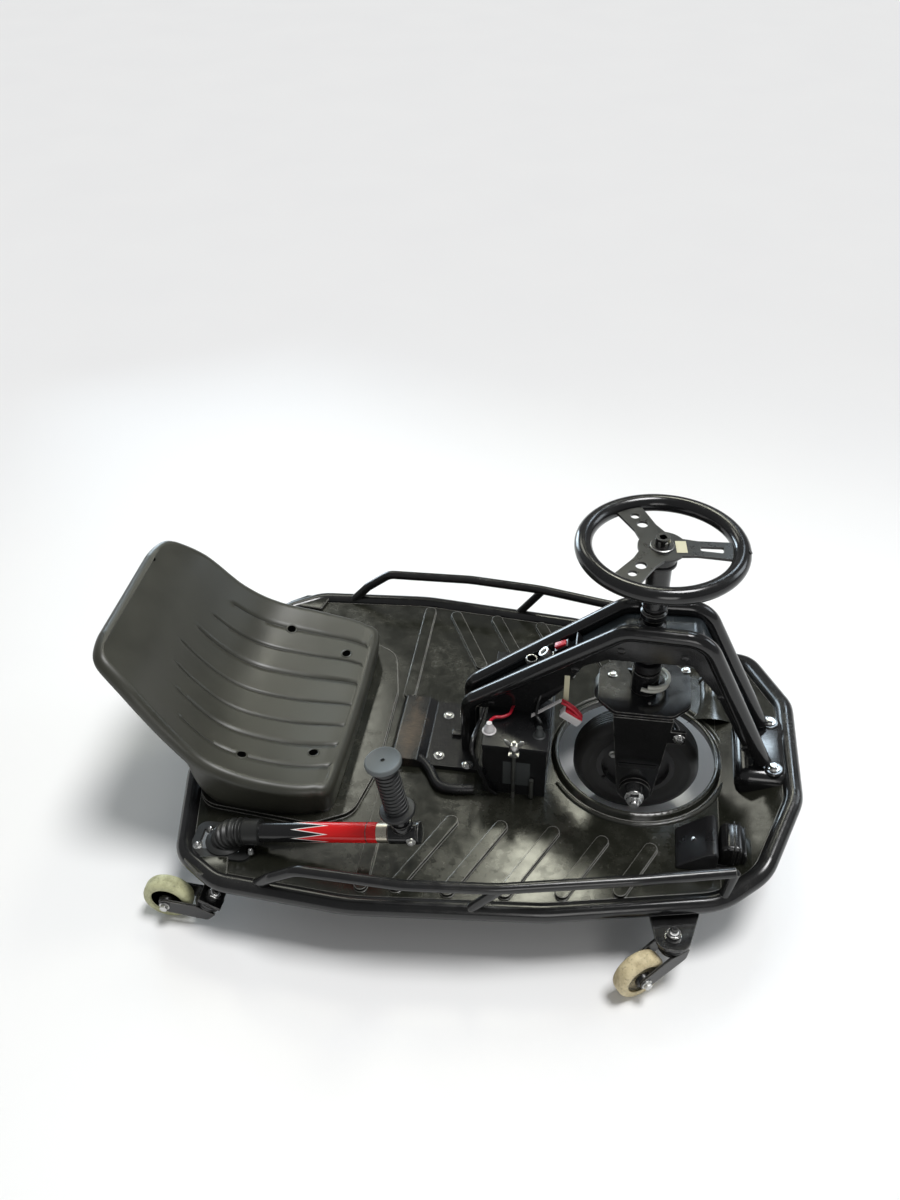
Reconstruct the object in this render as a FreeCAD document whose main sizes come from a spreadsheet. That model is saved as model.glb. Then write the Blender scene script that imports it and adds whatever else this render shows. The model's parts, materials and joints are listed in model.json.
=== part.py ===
# Electric drift kart: flat deck in a bent tube frame, bucket seat, arch with a steered drive wheel,
# four swivel casters and a drift bar that tilts the rear pair. Millimetres, X forward, Y to the
# driver's left, Z up, origin on the floor under the middle of the kart.
import FreeCAD, Part
import math
import os
from types import SimpleNamespace
from FreeCAD import Placement, Rotation, Vector

doc = FreeCAD.newDocument("drift_kart")

# Each row is a name, its value and what it measures. Distances called ahead are measured forward
# from the steering axis, so what lies behind it is negative; heights are above the floor.
SIZES = [
    ("steer_x", 287.0, "steering axis ahead of the origin"),
    ("edge_step", 5.0, "top face of the floor above the axis of the edge tube"),
    ("deck_sheet", 3.0, "thickness of the floor sheet"),
    ("tube_dia", 28.0, "edge tube"),
    ("fold_ahead", 128.0, "line where the floor turns up"),
    ("ramp_angle", 24.0, "rise of the floor ahead of the fold, degrees"),
    ("hole_dia", 250.0, "opening that the drive wheel stands in"),
    ("collar_wall", 6.0, "pressed ring around the opening"),
    ("collar_rise", 9.0, "pressed ring above the floor"),
    ("collar_foot", 6.0, "foot of the pressed ring outside its wall"),
    ("rib_width", 20.0, "pressed rib"),
    ("rib_rise", 6.0, "pressed rib above the floor"),
    ("platform_rise", 8.0, "pressed seat platform above the floor"),
    ("slot_length", 64.0, "slot in the floor for the drift bar"),
    ("slot_width", 36.0, "slot in the floor for the drift bar"),
    ("rail_dia", 16.0, "guard rail tube"),
    ("rail_rise", 60.0, "axis of the guard rail above the floor pan"),
    ("cross_dia", 25.0, "cross tube under the floor"),
    ("hump_width", 140.0, "nose block that carries the front legs of the arch"),
    ("hump_rise", 61.0, "top face of the nose block above the floor pan"),
    ("hump_round", 16.0, "rounding of the nose block's upper edges"),
    ("saddle_width", 144.0, "saddle plate behind the battery"),
    ("saddle_sheet", 8.0, "saddle plate thickness"),
    ("arch_dia", 25.0, "arch tube"),
    ("arch_rear_half", 22.0, "arch tube from the middle plane at its rear leg"),
    ("arch_toe", 2.46, "angle of each arch side to the middle plane, degrees"),
    ("arch_rise", 287.0, "axis of the arch tubes over the column, above the floor pan"),
    ("knee_rise", 109.0, "axis of the arch tubes at the top of the rear leg, above the floor pan"),
    ("arch_sheet", 3.0, "arch side plate"),
    ("panel_sheet", 3.0, "panel between the arch tubes"),
    ("panel_drop", 8.0, "panel below the axes of the arch tubes"),
    ("bearing_dia", 41.0, "steering bearing housing"),
    ("bearing_below", 42.0, "steering bearing housing below the arch tubes' axes"),
    ("bearing_above", 22.0, "steering bearing housing above the arch tubes' axes"),
    ("battery_long", 98.0, "battery block along the kart"),
    ("battery_half_span", 107.0, "battery pack from the middle plane to its side"),
    ("battery_tall", 94.0, "battery block height"),
    ("battery_ahead", -188.0, "middle of the batteries"),
    ("clamp_width", 16.0, "battery clamp strap"),
    ("clamp_sheet", 3.0, "battery clamp strap thickness"),
    ("clamp_rod_dia", 6.0, "battery clamp rod"),
    ("seat_sheet", 7.0, "moulded wall of the seat"),
    ("seat_bolt_dia", 9.0, "bolt bore in the seat"),
    ("seat_front_bolt_ahead", -502.0, "front seat bolts"),
    ("seat_front_bolt_half", 117.0, "front seat bolts from the middle plane"),
    ("seat_rear_bolt_ahead", -606.0, "rear seat bolts"),
    ("seat_rear_bolt_half", 150.0, "rear seat bolts from the middle plane"),
    ("seat_post_dia", 26.0, "post under each seat bolt"),
    ("column_dia", 25.0, "steering column"),
    ("column_gap", 0.05, "radial running fit of the column"),
    ("wheel_rise", 420.0, "middle plane of the steering wheel rim above the floor pan"),
    ("wheel_ring_dia", 218.0, "steering wheel, axis of the rim"),
    ("wheel_grip_dia", 25.0, "steering wheel rim thickness"),
    ("spoke_sheet", 4.0, "steering wheel spoke plate"),
    ("head_rise", 153.0, "underside of the drive unit's head plate above the drive axle"),
    ("head_sheet", 6.0, "drive unit's head plate"),
    ("head_long", 140.0, "drive unit's head plate along the kart"),
    ("head_wide", 122.0, "drive unit's head plate across the kart"),
    ("head_clip", 26.0, "clipped corners of the head plate"),
    ("head_round", 16.0, "rounding of the clipped corners"),
    ("fork_inner_half", 46.0, "inner face of the drive fork legs"),
    ("fork_leg", 20.0, "depth of a drive fork leg"),
    ("tyre_dia", 200.0, "drive tyre"),
    ("tyre_width", 50.0, "drive tyre"),
    ("tyre_shoulder", 14.0, "rounding of the drive tyre"),
    ("tyre_high", 38.0, "drive tyre from the rim to the tread"),
    ("axle_dia", 16.0, "drive wheel axle"),
    ("axle_half", 98.0, "drive wheel axle from the middle plane to its end"),
    ("pin_gap", 0.05, "radial running fit of the pins and axles"),
    ("motor_dia", 68.0, "drive motor"),
    ("motor_long", 26.0, "drive motor outside the fork leg"),
    ("pedal_side", -180.0, "middle of the pedal across the kart"),
    ("pedal_width", 74.0, "pedal pad"),
    ("housing_width", 50.0, "housing in front of the pedal"),
    ("caster_dia", 76.0, "caster wheel"),
    ("caster_width", 26.0, "caster wheel"),
    ("caster_trail", 55.0, "caster wheel axle from the swivel axis"),
    ("caster_reach", 26.5, "caster wheel axle below the fork crown"),
    ("crown_dia", 40.0, "caster fork crown"),
    ("crown_sheet", 4.0, "caster fork crown"),
    ("fork_sheet", 4.0, "caster fork leg"),
    ("fork_side_gap", 3.0, "caster wheel to fork leg"),
    ("cup_dia", 38.0, "caster bearing cup"),
    ("cup_tall", 11.0, "caster bearing cup"),
    ("cup_gap", 1.5, "fork crown to the bearing cup"),
    ("kingpin_dia", 12.0, "caster swivel pin"),
    ("dome_dia", 20.0, "dome nut on the swivel pin"),
    ("dome_tall", 19.0, "dome nut on the front swivel pins"),
    ("rear_dome_tall", 12.0, "dome nut on the rear swivel pins"),
    ("caster_plate", 5.0, "plate that carries a caster"),
    ("front_caster_ahead", 62.0, "front swivel axes"),
    ("front_caster_out", 43.63, "front swivel axes outside the axis of the edge tube"),
    ("bracket_reach", 22.0, "front bracket past the swivel axis"),
    ("bracket_root", 48.0, "front bracket inside the axis of the edge tube"),
    ("drift_axle_ahead", -613.0, "drift axle"),
    ("carrier_drop", 6.5, "caster carrier below the drift axle, along the swivel axis"),
    ("drift_axle_dia", 22.0, "drift axle tube"),
    ("drift_axle_inset", 18.0, "end of the drift axle tube inside the swivel axes"),
    ("drift_tilt", 30.0, "rear swivel axes lean forward, degrees"),
    ("rear_caster_in", 1.46875, "rear swivel axes inside the axis of the edge tube"),
    ("hanger_half", 196.0, "hangers of the drift axle from the middle plane"),
    ("hanger_sheet", 8.0, "hanger of the drift axle"),
    ("bar_inset", 58.0, "drift bar inside the right-hand rear swivel axis"),
    ("bar_bend_ahead", 17.0, "bend of the drift bar ahead of its axle"),
    ("bar_bend_rise", 74.0, "bend of the drift bar above its axle"),
    ("bar_dia", 30.0, "drift bar sleeve"),
    ("lever_dia", 22.0, "drift bar tube where it passes the floor"),
    ("bar_rise", 9.0, "drift bar to the floor, degrees"),
    ("bar_tip_ahead", -330.0, "middle of the socket at the front of the drift bar"),
    ("socket_dia", 32.0, "socket at the front of the drift bar"),
    ("socket_long", 42.0, "socket at the front of the drift bar"),
    ("grip_top", 152.0, "top of the grip above the socket's axis"),
    ("grip_base", 46.0, "lower end of the grip above the socket's axis"),
    ("grip_dia", 34.0, "rubber grip"),
    ("grip_cap_dia", 52.0, "end cap of the grip"),
    ("post_dia", 25.0, "post inside the grip"),
    ("boot_wall", 5.0, "rubber boot on the drift bar"),
    ("boot_gap", 0.5, "drift bar to the rubber boot"),
    ("flange_sheet", 4.0, "plate that clamps the boot to the floor"),
]

sheet = doc.addObject("Spreadsheet::Sheet", "Sizes")
for row, (name, value, note) in enumerate(SIZES, start=1):
    sheet.set(f"A{row}", str(value))
    sheet.setAlias(f"A{row}", name)
    sheet.set(f"B{row}", note)
doc.recompute()
S = SimpleNamespace(**{name: float(sheet.get(name)) for name, value, note in SIZES})

# The kart stands on its casters, so their height sets the edge tube's and the floor's.
caster_stack = S.caster_reach + S.crown_sheet + S.cup_gap + S.cup_tall + S.caster_plate
S.tube_height = S.caster_dia / 2 + caster_stack + S.tube_dia / 2
S.deck_top = S.tube_height + S.edge_step
S.cross_height = S.deck_top - S.deck_sheet - S.cross_dia / 2
S.rail_height = S.deck_top + S.rail_rise
S.hump_top = S.deck_top + S.hump_rise
S.arch_peak = S.deck_top + S.arch_rise
S.arch_knee = S.deck_top + S.knee_rise
S.bearing_base = S.arch_peak - S.bearing_below
S.bearing_tip = S.arch_peak + S.bearing_above
S.wheel_height = S.deck_top + S.wheel_rise
S.head_base = S.tyre_dia / 2 + S.head_rise
S.rim_dia = S.tyre_dia - 2 * S.tyre_high
tilt = math.radians(S.drift_tilt)
S.drift_axle_height = (S.caster_dia / 2 + (S.carrier_drop + caster_stack) * math.cos(tilt)
                       - S.caster_trail * math.sin(tilt))

UP = Vector(0, 0, 1)
LEFT = Vector(0, 1, 0)
AHEAD = Vector(1, 0, 0)
SIDES = (("left", 1), ("right", -1))
pieces = []


def at(ahead, side, height):
    """A point given ahead of the steering axis, to the driver's left and above the floor."""
    return Vector(S.steer_x + ahead, side, height)


def finish(obj, label):
    """Name a finished piece; its label is its file's name."""
    obj.Label = label
    pieces.append(obj)
    return obj


def corner(before, here, after, radius):
    """Start, middle and end of the arc that rounds one corner of a route."""
    back = (before - here).normalize()
    on = (after - here).normalize()
    half = back.getAngle(on) / 2
    reach = radius / math.tan(half)
    middle = here + (back + on).normalize() * (radius / math.sin(half) - radius)
    return here + back * reach, middle, here + on * reach


def route(points, radii, closed=False):
    """Straight runs through the points with a tangent arc at each corner that has a radius."""
    count = len(points)
    stops = []
    for i, (point, radius) in enumerate(zip(points, radii)):
        inner = closed or 0 < i < count - 1
        if radius and inner:
            stops.append(corner(points[i - 1], point, points[(i + 1) % count], radius))
        else:
            stops.append((point,))
    curves = []
    for i, stop in enumerate(stops):
        if len(stop) == 3:
            curves.append(Part.Arc(*stop))
        if i + 1 < count or closed:
            curves.append(Part.LineSegment(stop[-1], stops[(i + 1) % count][0]))
    return curves


def wire(points, radii, closed=False):
    return Part.Wire([curve.toShape() for curve in route(points, radii, closed)])


def feature(name, shape):
    """A shape worked out here, as a feature of the document."""
    obj = doc.addObject("Part::Feature", name)
    obj.Shape = shape
    return obj


def swept(name, path, dia_name):
    """A round bar along a route, its thickness bound to the sheet."""
    spine = feature(name + "_route", path)
    start = path.OrderedEdges[0]
    ring = doc.addObject("Part::Circle", name + "_ring")
    ring.setExpression("Radius", f"Sizes.{dia_name} / 2")
    ring.Placement = Placement(start.valueAt(start.FirstParameter),
                               Rotation(UP, start.tangentAt(start.FirstParameter)))
    sweep = doc.addObject("Part::Sweep", name)
    sweep.Sections = [ring]
    sweep.Spine = (spine, [f"Edge{i + 1}" for i in range(len(path.Edges))])
    sweep.Solid = True
    return sweep


def cylinder(name, base, axis, radius, height):
    """A cylinder whose radius and height are expressions or numbers."""
    obj = doc.addObject("Part::Cylinder", name)
    for field, size in (("Radius", radius), ("Height", height)):
        if isinstance(size, str):
            obj.setExpression(field, size)
        else:
            setattr(obj, field, size)
    obj.Placement = Placement(base, Rotation(UP, axis))
    return obj


def block(name, low, sizes):
    """A box from its low corner; each size is an expression or a number."""
    obj = doc.addObject("Part::Box", name)
    for field, size in zip(("Length", "Width", "Height"), sizes):
        if isinstance(size, str):
            obj.setExpression(field, size)
        else:
            setattr(obj, field, size)
    obj.Placement = Placement(low, Rotation())
    return obj


def fuse(name, objs):
    obj = doc.addObject("Part::MultiFuse", name)
    obj.Shapes = objs
    return obj


def cut(name, base, tool):
    obj = doc.addObject("Part::Cut", name)
    obj.Base = base
    obj.Tool = tool
    return obj


def common(name, base, tool):
    obj = doc.addObject("Part::MultiCommon", name)
    obj.Shapes = [base, tool]
    return obj


def prism(name, points, radii, direction):
    """A closed outline with rounded corners, pushed along a direction."""
    face = Part.Face(wire(points, radii, closed=True))
    outline = feature(name + "_outline", face)
    obj = doc.addObject("Part::Extrusion", name)
    obj.Base = outline
    obj.DirMode = "Custom"
    obj.Dir = direction
    obj.LengthFwd = direction.Length
    obj.Solid = True
    return obj


def body(name):
    return doc.addObject("PartDesign::Body", name)


def sketch(owner, role, curves, name, offset=0.0):
    """A sketch on one of the body's own planes, lifted off it by an offset."""
    plane = [item for item in owner.Origin.OriginFeatures if item.Role == role][0]
    drawn = owner.newObject("Sketcher::SketchObject", name)
    drawn.AttachmentSupport = (plane, [""])
    drawn.MapMode = "FlatFace"
    drawn.AttachmentOffset = Placement(Vector(0, 0, offset), Rotation())
    drawn.addGeometry(curves, False)
    return drawn


def pad(owner, drawn, length, name, both_ways=False):
    made = owner.newObject("PartDesign::Pad", name)
    made.Profile = drawn
    if both_ways:
        made.Midplane = True
    if isinstance(length, str):
        made.setExpression("Length", length)
    else:
        made.Length = length
    return made


def turned(label, points, radii, axis_name, place):
    """A body turned about its own axis from a half profile given as (radius, along) points."""
    owner = body(label + "_body")
    flat = [Vector(radius, along, 0) for radius, along in points]
    drawn = sketch(owner, "XZ_Plane", route(flat, radii, closed=True), label + "_profile")
    spin = owner.newObject("PartDesign::Revolution", label + "_turn")
    spin.Profile = drawn
    spin.ReferenceAxis = (drawn, ["V_Axis"])
    spin.Angle = 360
    owner.Placement = Placement(place, Rotation(UP, axis_name))
    return owner


def circle(x, y, radius):
    return Part.Circle(Vector(x, y, 0), UP, radius)


def ramp_height(ahead):
    """How far the floor has risen at a point ahead of the fold."""
    return max(0.0, ahead - S.fold_ahead) * math.tan(math.radians(S.ramp_angle))


# Edge tube and floor

# Half outline of the edge tube's axis, rear to front: ahead, to the side, bend radius.
EDGE = [
    (-698, 130, 60),
    (-664, 288, 50),
    (-600, 330, 60),
    (-400, 344, 250),
    (-120, 318, 250),
    (S.fold_ahead, 264, 90),
    (186, 224, 60),
    (234, 100, 60),
]


def edge_side(ahead):
    """How far the corners' straight lines are from the middle plane at a place along the side."""
    for (ahead_a, side_a, bend_a), (ahead_b, side_b, bend_b) in zip(EDGE, EDGE[1:]):
        if ahead_a <= ahead <= ahead_b:
            return side_a + (side_b - side_a) * (ahead - ahead_a) / (ahead_b - ahead_a)
    raise ValueError(f"the edge tube doesn't reach {ahead}")


S.rear_caster_half = edge_side(S.drift_axle_ahead) - S.rear_caster_in
S.drift_axle_half = S.rear_caster_half - S.drift_axle_inset
S.bar_side = -(S.rear_caster_half - S.bar_inset)


def edge_loop(height_at):
    """The edge tube's corners all the way round, with the height that a rule gives."""
    right = [(at(ahead, -side, height_at(ahead)), bend) for ahead, side, bend in EDGE]
    left = [(at(ahead, side, height_at(ahead)), bend) for ahead, side, bend in reversed(EDGE)]
    return [point for point, bend in right + left], [bend for point, bend in right + left]


edge_points, edge_bends = edge_loop(lambda ahead: S.tube_height + ramp_height(ahead))
edge_tube = swept("edge_tube_bar", wire(edge_points, edge_bends, closed=True), "tube_dia")
finish(edge_tube, "edge_tube")

plan_points, plan_bends = edge_loop(lambda ahead: 0.0)
deck_plan = prism("deck_plan", plan_points, plan_bends, UP * (S.hump_top * 2))
rear = EDGE[0][0] - S.tube_dia
front = EDGE[-1][0] + S.tube_dia
side_points = [
    (rear, S.deck_top),
    (S.fold_ahead, S.deck_top),
    (front, S.deck_top + ramp_height(front)),
    (front, S.deck_top + ramp_height(front) - S.deck_sheet),
    (S.fold_ahead, S.deck_top - S.deck_sheet),
    (rear, S.deck_top - S.deck_sheet),
]
widest = max(side for ahead, side, bend in EDGE) + S.tube_dia
deck_side = prism("deck_side", [at(ahead, -widest, height) for ahead, height in side_points],
                  [0] * len(side_points), LEFT * (2 * widest))
deck_sheet = common("deck_sheet", deck_side, deck_plan)

# Pressed ring around the opening, turned: radius, height.
hole_r = S.hole_dia / 2
collar_top = S.deck_top + S.collar_rise
COLLAR = [
    (hole_r, S.deck_top - S.deck_sheet),
    (hole_r + S.collar_wall + S.collar_foot, S.deck_top - S.deck_sheet),
    (hole_r + S.collar_wall + S.collar_foot, S.deck_top),
    (hole_r + S.collar_wall, collar_top),
    (hole_r, collar_top),
]
collar = turned("deck_collar", COLLAR, [0, 0, 0, 4, 2.5], UP, at(0, 0, 0))

# Seat platform: half outline, rear to front: ahead, to the side, corner radius.
PLATFORM = [(-676, 196, 40), (-486, 214, 45), (-428, 184, 40), (-408, 90, 60)]
platform_right = [(at(ahead, -side, S.deck_top), bend) for ahead, side, bend in PLATFORM]
platform_left = [(at(ahead, side, S.deck_top), bend) for ahead, side, bend in reversed(PLATFORM)]
platform = prism("deck_platform",
                 [point for point, bend in platform_right + platform_left],
                 [bend for point, bend in platform_right + platform_left],
                 UP * S.platform_rise)

# Pressed ribs of one side: ahead and side of the inner end, ahead and side of the outer end.
RIBS = [
    (-275, 178, -338, 306),
    (-199, 178, -262, 304),
    (-120, 178, -180, 296),
    (-46, 186, -98, 286),
    (26, 190, -16, 272),
    (-388, 90, -388, 312),
]


def rib(name, ahead_in, side_in, ahead_out, side_out, way):
    """A rib with round ends, from its inner to its outer end."""
    start = at(ahead_in, side_in * way, S.deck_top)
    end = at(ahead_out, side_out * way, S.deck_top)
    along = (end - start).normalize()
    across = Vector(-along.y, along.x, 0) * (S.rib_width / 2)
    tip = along * (S.rib_width / 2)
    edges = [
        Part.LineSegment(start + across, end + across).toShape(),
        Part.Arc(end + across, end + tip, end - across).toShape(),
        Part.LineSegment(end - across, start - across).toShape(),
        Part.Arc(start - across, start - tip, start + across).toShape(),
    ]
    outline = feature(name + "_outline", Part.Face(Part.Wire(edges)))
    obj = doc.addObject("Part::Extrusion", name)
    obj.Base = outline
    obj.DirMode = "Custom"
    obj.Dir = UP
    obj.setExpression("LengthFwd", "Sizes.rib_rise")
    obj.Solid = True
    return obj


ribs = [rib(f"rib_{side}_{i + 1}", *row, way)
        for side, way in SIDES for i, row in enumerate(RIBS)]
pressed = fuse("deck_pressed", [deck_sheet, collar, platform] + ribs)
hole = cylinder("deck_hole", at(0, 0, 0), UP, "Sizes.hole_dia / 2", S.hump_top * 2)
slot = block("deck_slot",
             at(S.drift_axle_ahead - S.slot_length / 2, S.bar_side - S.slot_width / 2, 0),
             ("Sizes.slot_length", "Sizes.slot_width", S.hump_top))
openings = fuse("deck_openings", [hole, slot, edge_tube])
finish(cut("deck_cut", pressed, openings), "deck_pan")

# Guard rails: ahead, to the side, height of the axis, bend radius.
RAIL = [
    (-541, 330, S.deck_top, 0),
    (-512, 337, 135, 25),
    (-470, 342, S.rail_height, 30),
    (-317, 346, S.rail_height, 200),
    (-187, 334, S.rail_height, 250),
    (8, 292, S.rail_height, 250),
    (140, 254, S.rail_height - 8, 0),
]
# Post and front tip of a rail: ahead and side at the edge tube, ahead, side and height above it.
RAIL_POSTS = [("post", -231, 330, -181, 333, S.rail_height, 0.9),
              ("tip", 128, 262, 140, 254, S.rail_height - 8, 1.0)]
for side, way in SIDES:
    rail_points = [at(ahead, across * way, height) for ahead, across, height, bend in RAIL]
    rail_bends = [bend for ahead, across, height, bend in RAIL]
    bar = swept(f"rail_{side}_bar", wire(rail_points, rail_bends), "rail_dia")
    legs = []
    for name, ahead_low, side_low, ahead_high, side_high, height, slim in RAIL_POSTS:
        low = at(ahead_low, side_low * way, S.tube_height)
        high = at(ahead_high, side_high * way, height)
        legs.append(cylinder(f"rail_{side}_{name}", low, high - low,
                             f"Sizes.rail_dia / 2 * {slim}", (high - low).Length))
    joined = fuse(f"rail_{side}_joined", [bar] + legs)
    finish(cut(f"rail_{side}_cut", joined, edge_tube), f"guard_rail_{side}")

# Cross tubes under the floor: ahead.
CROSS = [-560, -330, -175]
cross_bars = []
for i, ahead in enumerate(CROSS):
    cross_bars.append(cylinder(f"cross_bar_{i + 1}", at(ahead, -widest, S.cross_height), LEFT,
                               "Sizes.cross_dia / 2", 2 * widest))
cross_all = fuse("cross_all", cross_bars)
cross_inside = common("cross_inside", cross_all, deck_plan)
cross_tubes = cut("cross_cut", cross_inside, edge_tube)

# Nose block on the rising floor: what its side, top and front outlines have in common
HUMP = (150, 250)
hump_half = S.hump_width / 2
hump_points = [(HUMP[0], S.deck_top + ramp_height(HUMP[0])), (HUMP[0] + 24, S.hump_top),
               (HUMP[1] - 14, S.hump_top), (HUMP[1], S.deck_top + ramp_height(HUMP[1]))]
hump_side = prism("nose_hump_side", [at(ahead, -hump_half, height) for ahead, height in hump_points],
                  [0, 14, 8, 0], LEFT * S.hump_width)
hump_top_view = prism("nose_hump_top",
                      [at(ahead, side, 0) for ahead, side in (
                          (HUMP[0], -hump_half), (HUMP[1], -hump_half),
                          (HUMP[1], hump_half), (HUMP[0], hump_half))],
                      [26, 0, 0, 26], UP * (2 * S.hump_top))
hump_front = prism("nose_hump_front",
                   [at(HUMP[0], side, height) for side, height in (
                       (-hump_half, S.deck_top), (-hump_half, S.hump_top),
                       (hump_half, S.hump_top), (hump_half, S.deck_top))],
                   [0, S.hump_round, S.hump_round, 0], AHEAD * (HUMP[1] - HUMP[0]))
hump = common("nose_hump_block", common("nose_hump_upper", hump_side, hump_top_view), hump_front)
finish(cut("nose_hump_cut", hump, edge_tube), "nose_block")

# Saddle plate
saddle_top = S.deck_top + S.saddle_sheet
saddle_points = [(-396, S.deck_top), (-388, saddle_top + 9), (-348, saddle_top + 9),
                 (-334, saddle_top), (-250, saddle_top), (-250, S.deck_top)]
saddle_body = body("saddle_body")
saddle_drawn = sketch(saddle_body, "XZ_Plane",
                      route([Vector(ahead, height, 0) for ahead, height in saddle_points],
                            [0, 4, 4, 6, 0, 0], closed=True), "saddle_profile")
pad(saddle_body, saddle_drawn, "Sizes.saddle_width", "saddle_pad", both_ways=True)
saddle_body.setExpression("Placement.Base.x", "Sizes.steer_x")
finish(cut("saddle_cut", saddle_body, fuse("saddle_ribs", [deck_sheet] + ribs)), "saddle_plate")

# Arch

# Side view of the arch tubes: ahead, height, bend radius.
ARCH = [
    (-270, saddle_top, 0),
    (-270, S.arch_knee, 34),
    (-38, S.arch_peak, 40),
    (78, S.arch_peak, 46),
    (193, S.hump_top - 10, 0),
]
# Lower edge of a side plate, front to rear: ahead, height.
PLATE_EDGE = [(166, S.hump_top + 4), (104, S.arch_peak - 102), (62, S.arch_peak - 50),
              (-60, S.arch_peak - 56), (-95, S.arch_peak - 74), (-125, S.arch_peak - 130),
              (-172, S.arch_knee - 8), (-262, S.arch_knee - 8)]
PLATE_HEEL = (188, S.hump_top + 4)


def arch_point(ahead, height, way):
    """A point in the slightly turned plane of one side of the arch."""
    spread = S.arch_rear_half + (ahead - ARCH[0][0]) * math.tan(math.radians(S.arch_toe))
    return at(ahead, spread * way, height)


arch_bars = {}
for side, way in SIDES:
    path = wire([arch_point(ahead, height, way) for ahead, height, bend in ARCH],
                [bend for ahead, height, bend in ARCH])
    bar = swept(f"arch_{side}_bar", path, "arch_dia")
    arch_bars[side] = bar
    finish(cut(f"arch_{side}_cut", bar, hump), f"arch_tube_{side}")

for side, way in SIDES:
    inner = [arch_point(ahead, height, way) for ahead, height in PLATE_EDGE]
    outer = [arch_point(ahead, height, way) for ahead, height, bend in ARCH[1:-1]]
    heel = arch_point(*PLATE_HEEL, way)
    normal = (outer[1] - outer[0]).cross(outer[2] - outer[1]).normalize() * S.arch_sheet
    plate = prism(f"arch_{side}_plate", outer + [heel] + inner, [0] * (len(outer) + 1 + len(inner)),
                  normal)
    plate.Placement = Placement(normal * -0.5, Rotation())
    finish(cut(f"arch_{side}_plate_cut", plate, arch_bars[side]), f"arch_plate_{side}")


def offset_line(points, distance):
    """A polyline moved sideways by a distance, with its corners kept sharp."""
    moved = []
    for i, here in enumerate(points):
        before = points[max(i - 1, 0)]
        after = points[min(i + 1, len(points) - 1)]
        steps = [b - a for a, b in ((before, here), (here, after)) if (b - a).Length > 0]
        normals = [Vector(-step.y, step.x, 0).normalize() for step in steps]
        total = sum(normals[1:], normals[0])
        total.normalize()
        moved.append(here + total * (distance / total.dot(normals[0])))
    return moved


arch_line = [Vector(ahead, height, 0) for ahead, height, bend in ARCH[1:]]
arch_line[0] = arch_line[0] + (arch_line[1] - arch_line[0]).normalize() * 10
panel_upper = offset_line(arch_line, -S.panel_drop)
panel_lower = offset_line(arch_line, -S.panel_drop - S.panel_sheet)
panel_upper[-1] = panel_upper[-1] + (panel_upper[-2] - panel_upper[-1]).normalize() * 8
panel_lower[-1] = panel_lower[-1] + (panel_lower[-2] - panel_lower[-1]).normalize() * 8
panel_profile = [at(point.x, -S.head_wide, point.y) for point in panel_upper + panel_lower[::-1]]
panel_strip = prism("panel_strip", panel_profile, [0, 20, 20, 0, 0, 17, 17, 0],
                    LEFT * (2 * S.head_wide))
PANEL_ENDS = (-280, 200)
panel_inset = S.arch_sheet / 2
panel_plan = [arch_point(ahead, 0, way) - LEFT * (way * panel_inset)
              for ahead, way in ((PANEL_ENDS[0], -1), (PANEL_ENDS[1], -1),
                                 (PANEL_ENDS[1], 1), (PANEL_ENDS[0], 1))]
panel_wedge = prism("panel_wedge", panel_plan, [0] * 4, UP * (2 * S.arch_peak))
panel_whole = common("panel_whole", panel_strip, panel_wedge)
bearing_bore = cylinder("bearing_bore", at(0, 0, 0), UP, "Sizes.bearing_dia / 2", 2 * S.arch_peak)
finish(cut("panel_cut", panel_whole,
           fuse("panel_tools", [bearing_bore, hump] + list(arch_bars.values()))), "arch_panel")

# Steering bearing housing, turned: radius, height.
bore = S.column_dia / 2 + S.column_gap
shell = S.bearing_dia / 2
BEARING = [
    (bore, S.bearing_base),
    (shell - 6, S.bearing_base),
    (shell, S.bearing_base + 6),
    (shell, S.arch_peak - 4),
    (shell - 5, S.arch_peak - 1),
    (shell - 5, S.arch_peak + 8),
    (shell - 1, S.arch_peak + 10),
    (shell - 1, S.bearing_tip - 3),
    (shell - 4, S.bearing_tip),
    (bore, S.bearing_tip),
]
finish(turned("bearing", BEARING, [0] * len(BEARING), UP, at(0, 0, 0)), "steering_bearing")

# Switches on the rear slope of the arch
slope = (arch_line[1] - arch_line[0]).normalize()
slope_up = Vector(-slope.y, 0, slope.x)
slope_on = Vector(slope.x, 0, slope.y)


def on_panel(from_knee, lift):
    """A point on the middle line of the rear slope, measured from its lower end."""
    foot = panel_upper[0]
    return at(foot.x, 0, foot.y) + slope_on * from_knee + slope_up * lift


# Switches: name, distance up the slope, radius, height.
SWITCHES = [("rocker", 206, 8, 7), ("port", 184, 9, 12), ("reset", 166, 9, 9)]
switch_solids = [cylinder(f"switch_{name}", on_panel(along, 0), slope_up, radius, tall)
                 for name, along, radius, tall in SWITCHES]
finish(fuse("switch_set", switch_solids), "arch_switches")

# Batteries: two blocks side by side, with their terminals
for side, way in SIDES:
    low_side = 0.15 if way > 0 else -S.battery_half_span
    case = block(f"battery_{side}_case", at(S.battery_ahead - S.battery_long / 2, low_side, S.deck_top),
                 ("Sizes.battery_long", "Sizes.battery_half_span - 0.15", "Sizes.battery_tall"))
    posts = [cylinder(f"battery_{side}_post_{i}",
                      at(S.battery_ahead + step, (S.battery_half_span - 14) * way,
                         S.deck_top + S.battery_tall), UP, 7, 9)
             for i, step in ((1, -34), (2, 34))]
    finish(fuse(f"battery_{side}_all", [case] + posts), f"battery_{side}")

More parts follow.
